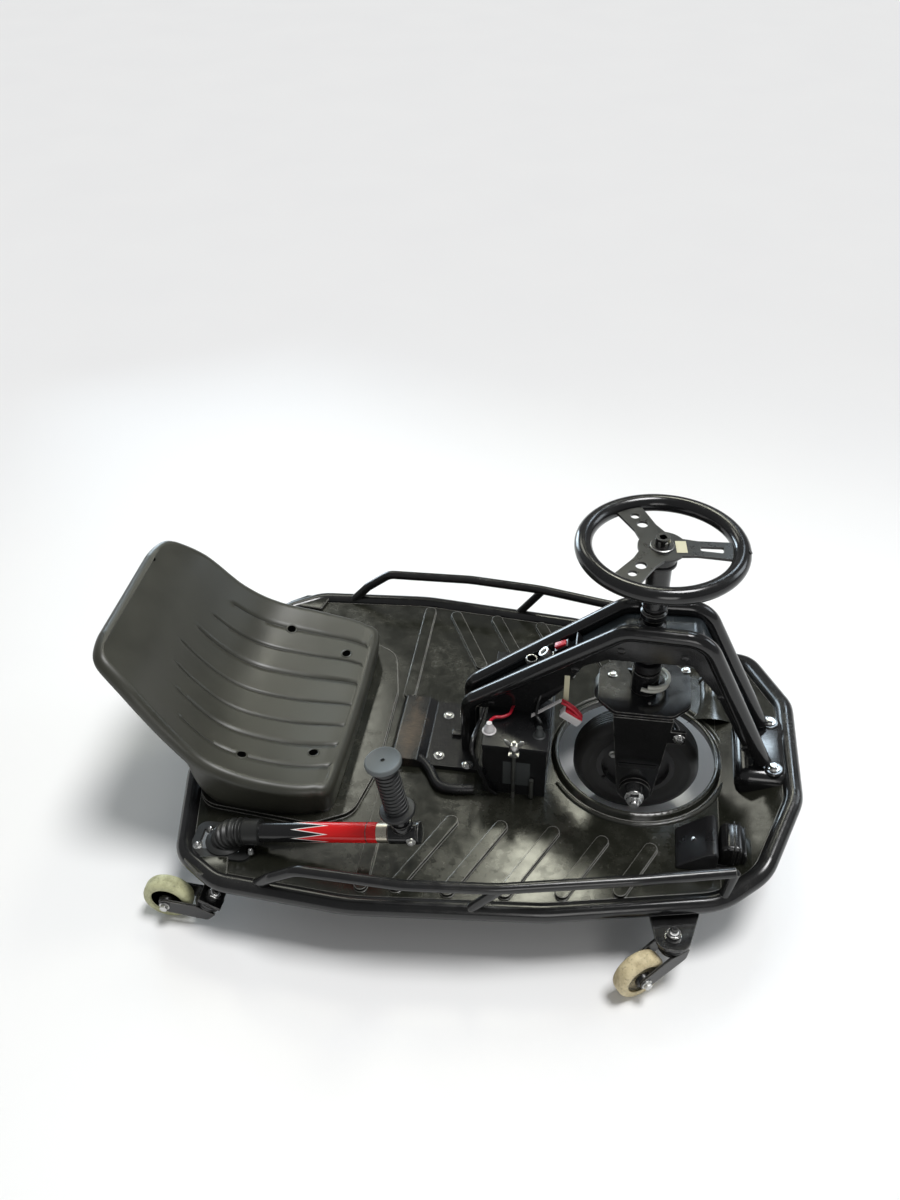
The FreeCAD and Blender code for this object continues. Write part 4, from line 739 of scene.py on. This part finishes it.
def add_boot():
    """Rubber bellows from the floor to a plain sleeve on the bar."""
    piece = Piece("boot_bellows", "chassis", boot_rubber)
    foot = at(-607, -262, 104)
    path = [foot, at(-607, -262, 112), at(-602, -262, 122), at(-590, -262, 131),
            BAR_START + BAR_WAY * 0.022, BAR_START + BAR_WAY * 0.036, BAR_START + BAR_WAY * 0.05]
    folds, corrugated = 8, 0.7

    def bulge(t):
        if t > corrugated:
            return 0.93 if t < 0.98 else 0.84
        return 0.92 + 0.12 * math.cos(2 * math.pi * folds * t / corrugated)

    piece.tube(path, 21, steps=40, samples=24, bulge=bulge)
    made = piece.make(["drift_boot"], sharp=60, riding=False)
    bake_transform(made)


add_boot()


def add_flange():
    """The boot's collar on its flange and the flange's three cap nuts."""
    piece = Piece("boot_flange_plate", "chassis", boot_rubber, chrome)
    for ahead, side in ((-634, -246), (-645, -277), (-563, -277)):
        dome_nut(piece, facing(at(ahead, side, 109), UP), 9, 9, 1)
    piece.lathe([(19, 0), (30, 0), (29.5, 3), (25, 6), (20, 7)], facing(at(-607, -262, 108.5), UP), 0, 36)
    piece.make()


add_flange()


def add_grip():
    """Ribbed grip with its end cap, and the sleeve, rings and bolt at the bar's tip."""
    piece = Piece("lever_grip", "drift", grip_rubber, cap_rubber, black_plastic)
    base, top = 46, 152
    profile = [(14, base), (25, base), (26, base + 1.5), (26, base + 4.5), (25, base + 6), (17.5, base + 7)]
    height = base + 9
    while height < top - 12:
        profile += [(17.8, height), (17.8, height + 4.0), (16.4, height + 4.6), (16.4, height + 6.4)]
        height += 7
    profile += [(17.4, top - 10), (24, top - 9), (26, top - 7)]
    place = facing(TIP, GRIP_WAY)
    piece.lathe(profile, place, 0, 48)
    piece.lathe([(26, top - 7), (26.2, top - 3), (25.4, top - 0.8), (23.8, top), (22.6, top - 0.5),
                 (3.2, top - 0.5), (3, top - 1.5), (3, top - 3)], place, 1, 48)
    piece.lathe([(3.1, top - 2.2), (0, top - 2.2)], place, 2, 20)
    piece.make(["drift_grip"])
    trim = Piece("bar_trim", "drift", sleeve_metal, tube_paint, zinc)
    back = facing(TIP - BAR_WAY * 0.054, BAR_WAY)
    trim.lathe([(12, -1.5), (15.6, -1.0), (15.6, 0), (14.2, 0.4)], back, 1, 40)
    trim.lathe([(14, 0), (14.6, 0.8), (14.6, 31), (14, 31.8)], back, 0, 40)
    trim.lathe([(12, 20.4), (16.6, 20.6), (17, 21.2), (17, 24), (16, 24.6), (12, 24.8)],
               facing(TIP, BAR_WAY), 1, 40)
    trim.lathe([(0, 24.2), (12.4, 24.4)], facing(TIP, BAR_WAY), 1, 40)
    bolt(trim, facing(TIP + BAR_WAY * 0.013 - LEFT * 0.0158, -LEFT), 8, 4, 7, 2)
    trim.lathe([(12.6, 14), (15.6, 14.6), (16, 20), (14.8, 25), (12.6, 26)], place, 1, 40)
    trim.make()


add_grip()


# Casters

# How far the front casters stand turned at rest, the casters' trail and their wheels' half size.
YAW_REST = math.radians(37)
TRAIL = 55
WHEEL_HALF = 38


def caster_places():
    """Each caster's side, end, hub, axle direction, swivel direction and nut height over the hub."""
    for side, way in SIDES:
        hub = at(62 - TRAIL * math.cos(YAW_REST), (322 + TRAIL * math.sin(YAW_REST)) * way, WHEEL_HALF)
        axle = Vector((math.sin(YAW_REST) * way, math.cos(YAW_REST), 0))
        yield side, "front", hub, axle, at(62, 322 * way, 0), UP, 86.5, 19
        lean = Vector((0.5, 0, math.cos(math.radians(30))))
        hub = at(-687.88, 320 * way, WHEEL_HALF)
        yield side, "rear", hub, LEFT.copy(), at(-613, 320 * way, 57.7), lean, -6.0, 12


def add_casters():
    """Worn wheels, axle bolts, cap nuts and bearing cups of the four casters."""
    for side, end, hub, axle, pivot, swivel, nut_at, nut_tall in caster_places():
        name = f"{end}_{side}"
        tread = tread_green if end == "rear" else tread_cream
        wheel = Piece(f"wheel_{name}", f"{end}_wheel_{side}", tread, black_plastic, zinc)
        place = facing(hub, axle)
        half = [(38, 3.5), (37.6, 7), (36, 10.5), (33, 12.6), (28, 13), (25.5, 12.2), (24.5, 9.5)]
        rounded = [(radius, -height) for radius, height in reversed(half)] + half
        wheel.lathe(rounded + [rounded[0]], place, 0, 64)
        for way in (1, -1):
            wheel.lathe([(24.6, 9.5 * way), (23, 8.5 * way), (13, 7.5 * way), (12, 12 * way), (11, 15 * way),
                         (4, 15.2 * way)], place, 1, 48)
            wheel.lathe([(8.5, 15.1 * way), (8.5, 15.6 * way), (4.2, 15.7 * way)], place, 2, 32)
        wheel.make([f"{end}_caster_{side}"])
        trim = Piece(f"caster_trim_{name}", f"{end}_swivel_{side}", chrome, zinc)
        for way in (1, -1):
            bolt(trim, facing(hub + axle * (0.0201 * way), axle * way), 11, 5, 8, 1)
        dome_nut(trim, facing(pivot + swivel * (nut_at / 1000), swivel), 18, nut_tall, 0)
        trim.make()
        cup = Piece(f"bearing_ring_{name}", "chassis" if end == "front" else "drift", black_plastic)
        low = (70 if end == "front" else -22.4) / 1000
        cup.lathe([(18, 0), (20, 0.6), (20, 3.0), (19.2, 3.6), (19.2, 7.0), (20, 7.6), (20, 10.0), (18, 10.6)],
                  facing(pivot + swivel * low, swivel), 0, 44)
        cup.make()


add_casters()


# Steering: wheel details, column collars and the drive unit

def add_steering():
    """Hub nut, blank sticker, rim seam, column collars, coiled cable and the drive unit's trim."""
    hub = Piece("wheel_hub_trim", "steering", zinc, cream_paper)
    top = at(0, 0, 527)
    hub.lathe([(0, 0), (17, 0), (17, 1.6), (15.5, 2.6), (0, 2.6)], facing(top, UP), 0, 40)
    hub.prism(hexagon(19), 9, facing(top + UP * 0.0026, UP), 0, 1.0)
    hub.lathe([(6, 11.6), (5.4, 15), (0, 15)], facing(top, UP), 0, 24)
    hub.box((15, 27, 0.5), facing(at(26, 0, 527.4), UP, (1, 0.1, 0)), 1, 0.1)
    hub.make()
    seam = Piece("wheel_rim_seam", "steering", wheel_paint, black_plastic)
    ring = [at(107.5 * math.cos(t), 107.5 * math.sin(t), 513.2) for t in (math.pi * i / 24 for i in range(48))]
    seam.tube(ring + [ring[0]], 0.9, 0, steps=8, samples=2)
    hole = at(*round_at(118, -4), 533)
    seam.lathe([(2.6, 0), (3.4, 0.6), (3.4, 1.4), (0, 1.0)], facing(hole, Vector((0.7, 0, 0.7))), 1, 20)
    seam.make()
    column = Piece("column_trim", "steering", black_plastic, chrome, cable_grey, zinc)
    for low, tall, wide in ((300, 14, 21), (318, 5, 17), (419, 5, 18.5), (436, 9, 19.5), (497, 6, 23.5)):
        top = low + tall
        column.lathe([(12, low), (wide - 1.5, low), (wide, low + 1.5), (wide, top - 1.5), (wide - 1.5, top),
                      (12, top)], facing(at(0, 0, 0), UP), 0, 44)
    coil = []
    for i in range(26):
        ahead, side = round_at(29, 70 - i * 7.2)
        coil.append(at(4 + ahead, side, 270 + i * 0.35))
    column.tube(coil, 3.4, 2, steps=12, samples=4)
    column.tube([point + Vector((0.002, 0.001, 0.0062)) for point in coil[3:-2]], 3.2, 2, steps=12, samples=4)
    for ahead, side in ((-49, 20), (63, 44)):
        bolt(column, facing(at(ahead, side, 259), UP), 8, 4, 7, 1)
    column.lathe([(0, 0), (2.4, 0), (2.0, 1.6), (0, 2)], facing(at(8, -36, 259), UP), 3, 16)
    column.make()
    drive = Piece("drive_trim", "steering", black_plastic, chrome, zinc, cable_black)
    bolt(drive, facing(at(56, -66, 220), -LEFT), 10, 5, 9, 1)
    drive.tube([at(56, -62, 220), at(52, -40, 216), at(40, -20, 214)], 5, 0, samples=5)
    for way in (1, -1):
        face = facing(at(0, 84 * way, 100), LEFT * way)
        bolt(drive, face, 22, 9, 15, 1)
        drive.lathe([(7.4, 10), (7.4, 17), (6.4, 18.5), (0, 18.5)], face, 1, 28)
        drive.box((58, 2.2, 7), facing(at(0, 67 * way, 152), UP), 0, 0.8)
    for ring in range(6):
        drive.lathe([(33.5, 0), (35.2, 0.6), (35.2, 2.0), (33.5, 2.6)],
                    facing(at(-40, 68 + ring * 4, 176), LEFT), 2, 44)
    drive.lathe([(0, 0), (22, 0), (24, -2), (33, -3)], facing(at(-40, 92.8, 176), LEFT), 2, 44)
    drive.tube([at(-40, 80, 210), at(-36, 60, 240), at(-24, 38, 256), at(-14, 24, 268), at(-14, 16, 285)], 4, 3)
    drive.make()


add_steering()


def add_drive_wheel():
    """Tyre with its grooves and bead, rim bolts and valve."""
    tyre = Piece("tyre_dressed", "drive_wheel", tyre_rubber, zinc)
    half = [(62, 19.8), (66, 22.5), (72, 24.2), (74, 24.9), (76, 24.4), (82, 24.9), (85, 24.9), (86, 25.0),
            (88, 24.3), (92.5, 22.4), (96.8, 18.6), (99.2, 14)]
    tread = []
    for place in (14, 9, 4.6):
        tread += [(99.6 - place * 0.01, place), (99.8, place - 1.4), (98.0, place - 1.9), (98.0, place - 2.7),
                  (99.9, place - 3.2)]
    right = half + tread + [(100, 0.6)]
    profile = right + [(radius, -height) for radius, height in reversed(right)]
    tyre.lathe(profile + [(58, -19.8), (58, 19.8), profile[0]], facing(at(0, 0, 100), LEFT), 0, 96)
    for turn in range(5):
        ahead, over = round_at(38, 72 * turn + 20)
        bolt(tyre, facing(at(ahead, -6.2, 100 + over), -LEFT), 8, 4, 7, 1)
    tyre.tube([at(-44, -8, 74), at(-47, -14, 71), at(-49, -22, 69)], 3.2, 0, samples=5)
    tyre.make(["drive_tyre"], sharp=40)


add_drive_wheel()


# Battery, its clamp and leads

def add_battery():
    """Lids, blank label, terminal boots and the clamp with its rods and wing nut."""
    trim = Piece("battery_trim", "chassis", case_plastic, white_plastic, label_grey, rod_steel, zinc)
    for side, way in SIDES:
        trim.box((99.4, 107.6, 11), facing(at(-188, 53.7 * way, 202.8), UP), 0, 1.2)
    trim.box((42, 50, 0.4), facing(at(-184, -107.4, 152), -LEFT), 2, 0.1)
    for ahead, material, wide in ((-230, 1, 9), (-153, 2, 8)):
        trim.lathe([(wide + 2, 0), (wide + 2, 2), (wide, 3), (wide - 1, 8), (5, 12), (4.4, 18), (0, 18)],
                   facing(at(ahead, -76, 207), UP), material, 28)
    trim.tube([at(-188, -113, 211), at(-188, -113, 165), at(-188, -113, 119)], 3.2, 3, samples=2)
    trim.tube([at(-160, -112, 107), at(-160, -112, 130), at(-160, -112, 146)], 3.4, 3, samples=2)
    nut = facing(at(-188, -112, 213), UP)
    trim.lathe([(7.6, 0), (7.2, 4), (5.4, 7.5), (0, 7.5)], nut, 4, 24)
    trim.lathe([(3, 7), (3, 13), (2.2, 14), (0, 14)], nut, 4, 16)
    for way in (1, -1):
        wing = [(4 * way, 1), (10 * way, 5), (15.5 * way, 12), (14.5 * way, 16.5), (9 * way, 15), (4 * way, 8)]
        trim.prism(wing[::way], 2.6, facing(at(-188, -110.7, 213), -LEFT, AHEAD), 4, 1.0)
    trim.make()


def add_leads():
    """Leads, black cable and conduit, the loose connector, the toothed strip and the paper tag."""
    leads = Piece("battery_leads", "chassis", cable_red, cable_black, white_plastic, red_plastic, cream_paper)
    leads.tube([at(-196, -20, 212), at(-199, -30, 217), at(-202, -44, 217), at(-212, -52, 217),
                at(-224, -55, 217), at(-230, -66, 219), at(-230, -75, 222)], 2.4, 0)
    leads.tube([at(-243, -36, 216), at(-247, -50, 203), at(-250, -75, 207), at(-252, -99, 211),
                at(-252, -113, 201), at(-247, -116, 182), at(-237, -116, 153), at(-227, -115, 122),
                at(-214, -112, 106)], 3.2, 1)
    leads.tube([at(-383, -73, 112), at(-364, -59, 113), at(-344, -61, 113), at(-324, -82, 113),
                at(-307, -110, 113), at(-286, -117, 113), at(-250, -113, 113)], 7.5, 1, steps=20)
    leads.tube([at(-152, -60, 218), at(-160, -48, 224), at(-158, -30, 240), at(-150, -18, 262)], 2.6, 1)
    block = facing(at(-108, -49, 229), Vector((0.55, 0, 0.83)), LEFT)
    leads.box((15, 34, 13), block, 2, 1.6)
    leads.box((11, 27, 5), block @ Matrix.Translation((0, 0.001, 0.0082)), 3, 1.2)
    for shift in (-3.2, 3.2):
        leads.tube([at(-123, -43 + shift, 253), at(-113, -47 + shift, 251), at(-101, -49 + shift, 242),
                    at(-92, -49 + shift, 228), at(-96, -48 + shift, 217)], 2.1, 0)
    leads.box((8, 0.9, 52), facing(at(-117.5, -30, 269), UP), 4, 0.2)
    strip = facing(at(-146, -45, 237), Vector((-0.66, 0, 0.75)), LEFT)
    leads.box((6, 60, 1.2), strip, 2, 0.3)
    for i in range(17):
        leads.box((6, 1.4, 1.6), strip @ Matrix.Translation((0, (i * 3.4 - 27) / 1000, 0.0012)), 2, 0.2)
    leads.make()


add_battery()
add_leads()


# Arch: rivets, switches and foot bolts

def on_node(name, start, way):
    """Where a straight line first meets a CAD piece, and which way the face there looks."""
    node = nodes[name]
    back = node.matrix_world.inverted()
    hit, place, normal = node.ray_cast(back @ start, back.to_3x3() @ way)[:3]
    if not hit:
        raise RuntimeError(f"no face of {name} from {start}")
    return node.matrix_world @ place, (node.matrix_world.to_3x3() @ normal).normalized()


# Rivets of a side plate: ahead and height.
RIVETS = [(-233, 216), (-107, 308), (-42, 356), (50, 356), (111, 287), (160, 188)]


def add_arch_trim():
    """Rivets, foot bolts, the rounded nose hump and the switches on the panel."""
    trim = Piece("arch_rivets", "chassis", arch_paint, chrome)
    for side, way in SIDES:
        for ahead, height in RIVETS:
            face = on_node(f"arch_plate_{side}", at(ahead, 120 * way, height), -LEFT * way)[0]
            trim.lathe([(6.4, -0.5), (6.2, 0.8), (4.6, 2.2), (0, 2.6)], facing(face, LEFT * way), 0, 24)
        foot = facing(at(206, 50 * way, 158), UP)
        trim.lathe([(17, -30), (15, 0), (13, 2.5), (0, 2.5)], foot, 0, 32)
        bolt(trim, lifted(foot, 2.5), 11, 5, 9, 1)
    trim.make()
    hump = Piece("nose_hump", "chassis", arch_paint)
    hump.box((86, 142, 50), facing(at(193, 0, 133), UP), 0, 20)
    hump.make(["nose_block"], sharp=60)
    panel = Piece("arch_switch_trim", "chassis", black_plastic, red_plastic, zinc, painted_hole_shade)
    faces = {}
    for name, ahead in (("rocker", -122), ("port", -146), ("ring", -166), ("step", -100)):
        face, normal = on_node("arch_panel", at(ahead, 0, 480), -UP)
        faces[name] = facing(face, normal, LEFT)
    panel.box((17, 24, 14), lifted(faces["rocker"], 7), 0, 1.2)
    tipped = lifted(faces["rocker"], 14.5) @ Matrix.Rotation(math.radians(10), 4, "X")
    panel.box((11, 18, 7), tipped, 1, 1.0)
    panel.prism(hexagon(20), 6, faces["port"], 2, 0.8)
    panel.lathe([(9, 6), (9, 17), (8.4, 18), (6.2, 18), (5.6, 17), (5.6, 9)], faces["port"], 2, 36)
    # A near-black disc inside the port: painted shade.
    panel.lathe([(5.7, 11), (0, 11)], faces["port"], 3, 24)
    raised = lifted(faces["ring"], 14) @ Matrix.Rotation(math.radians(38), 4, "X")
    panel.lathe([(7.2, -4), (9, -4), (9.2, 1.5), (8.6, 2.4), (7.4, 2.2), (7.2, -4)], raised, 2, 36)
    # A near-black disc inside the ring: painted shade.
    panel.lathe([(7.3, -1), (0, -1)], raised, 3, 24)
    panel.box((30, 3, 16), lifted(faces["step"], 5), 0, 0.8)
    panel.make(["arch_switches"])


add_arch_trim()


# Deck: pressings, saddle bolts and pedal

# Outline of a raised corner pad: ahead and side.
PAD = [(-658, 305), (-655, 297), (-593, 291), (-585, 322), (-592, 330), (-629, 328)]


def add_deck_trim():
    """Corner pads, the ridge round the wheel opening, the far stepped boss, saddle bolts and pedal."""
    trim = Piece("deck_pressings", "chassis", deck_paint, chrome, tube_paint)
    for side, way in SIDES:
        outline = [(ahead, place * way) for ahead, place in PAD]
        trim.prism(outline[::-way], 7, facing(at(0, 0, DECK - 0.5), UP), 0, 3.0)
    arc = [at(*round_at(143, a), DECK) for a in range(-148, 149, 6)]
    trim.tube(arc, 3.6, 0, steps=14, samples=2)
    boss = [(9, 246), (15, 244), (17, 237), (20, 234), (20, 229), (17, 226), (17, 198), (21, 194), (21, 188),
            (18, 184), (19, 140), (24, 112), (33, 94), (42, 86)]
    rings = []
    for radius, side in boss:
        ring = [at(124 + radius * math.cos(t), side, DECK - 1 + min(radius, 21) * 0.75 * math.sin(t))
                for t in (math.pi * i / 24 for i in range(25))]
        rings.append(ring)
    trim.grid(rings, 0, close_across=False)
    for ahead, side in ((-312, 41), (-314, -51), (-266, -65)):
        bolt(trim, facing(on_node("saddle_plate", at(ahead, side, 200), -UP)[0], UP), 9, 4, 9, 1)
    face = on_node("saddle_plate", at(-287, 0, 200), -UP)[0]
    trim.box((26, 12, 8), facing(face + UP * 0.003, UP), 2, 1.5)
    trim.make()
    pedal = Piece("pedal_pad", "chassis", pedal_plastic, chrome, painted_hole_shade)
    side = facing(at(0, -143, 0), -LEFT, AHEAD)
    pedal.prism([(62, 104), (64, 110), (104, 143), (114, 147), (121, 142), (122, 104)], 74, side, 0, 7)
    face = at(86, -178, 129.5)
    slope = Vector((-33, 0, 40))
    pedal.lathe([(4.2, -1.4), (4.2, 1.0), (2.6, 1.1)], facing(face, slope), 1, 24)
    # A near-black disc in the pedal's hole: painted shade.
    pedal.lathe([(2.7, 0.9), (0, 0.9)], facing(face, slope), 2, 20)
    pedal.make(["pedal"], sharp=60)
    housing = Piece("pedal_box", "chassis", arch_paint)
    side = facing(at(0, -155, 0), -LEFT, AHEAD)
    housing.prism([(123, 104), (124, 140), (131, 148), (152, 148), (162, 136), (167, 104)], 50, side, 0, 7)
    for ahead, high in ((144, 43), (152, 41), (160, 33)):
        housing.box((3, 56, high), facing(at(ahead, -180, DECK + high / 2), UP), 0, 1.4)
    housing.box((46, 64, 5), facing(at(146, -180, DECK + 1.5), UP), 0, 2)
    housing.make(["pedal_housing"], sharp=60)
    soft = nodes["saddle_plate"].modifiers.new("round_corners", "BEVEL")
    soft.width = 0.003
    soft.segments = 4
    soft.limit_method = "ANGLE"


add_deck_trim()


# Floor and light

FLOOR_REACH = 24


def add_stage():
    """A plain pale floor and an even, dim room."""
    floor = Paint("floor_paint")
    cloud = floor.noise(3, 5)
    surface = floor.finish(floor.ramp(cloud, (0.3, (0.855, 0.855, 0.855)), (0.7, (0.865, 0.865, 0.862))),
                           floor.ramp(cloud, (0.3, 0.8), (0.7, 0.9)))
    data = bpy.data.meshes.new("floor")
    corners = [(x * FLOOR_REACH, y * FLOOR_REACH, 0) for x, y in ((-1, -1), (1, -1), (1, 1), (-1, 1))]
    data.from_pydata(corners, [], [(0, 1, 2, 3)])
    data.materials.append(surface)
    show("floor", data)
    world = bpy.data.worlds.new("room")
    world.use_nodes = True
    air = world.node_tree.nodes["Background"].inputs
    air["Color"].default_value = (0.97, 0.985, 1.0, 1)
    air["Strength"].default_value = 0.24
    bpy.context.scene.world = world


# Soft boxes: name, place, what it looks at, size, power, spread in degrees, colour.
LAMPS = [
    ("window_front", (1.0, 2.15, 2.3), (0.46, 0.05, 0.1), 0.5, 0.3, 24, (0.74, 0.88, 1.0)),
    ("window_deck", (0.15, 1.45, 2.3), (0.15, -0.2, 0.1), 0.5, 1.6, 70, (1.0, 1.0, 0.82)),
    ("window_seat", (-0.9, 1.7, 2.0), (-0.35, 0, 0.2), 0.6, 0.9, 70, (1.0, 1.0, 0.86)),
    ("window_left", (-1.3, 1.65, 0.66), (0.13, 0, 0.3), 0.8, 3, 60, (0.74, 0.89, 1.0)),
    ("window_right", (2.2, 0.9, 1.3), (0.4, 0, 0.1), 0.9, 2.5, 90, (0.86, 0.94, 1.0)),
    ("window_near", (0.7, -2.1, 1.0), (0.1, 0, 0.2), 0.8, 3, 120, (1.0, 0.99, 0.97)),
]
# Main light: direction that it comes from, strength, width in degrees.
SUN = ((0.26, 0.1, 1.0), 2.35, 20)


def add_lamps():
    """The soft boxes and the wide main light."""
    for name, place, target, size, power, spread, color in LAMPS:
        data = bpy.data.lights.new(name, "AREA")
        data.shape = "SQUARE"
        data.size = size
        data.energy = power
        data.spread = math.radians(spread)
        data.color = color
        show(name, data).matrix_world = facing(Vector(place), Vector(place) - Vector(target))
    way, strength, wide = SUN
    data = bpy.data.lights.new("sun", "SUN")
    data.energy = strength
    data.angle = math.radians(wide)
    show("sun", data).matrix_world = facing(Vector((0, 0, 4)), Vector(way))


add_stage()
add_lamps()
bpy.context.scene.view_settings.view_transform = "Standard"
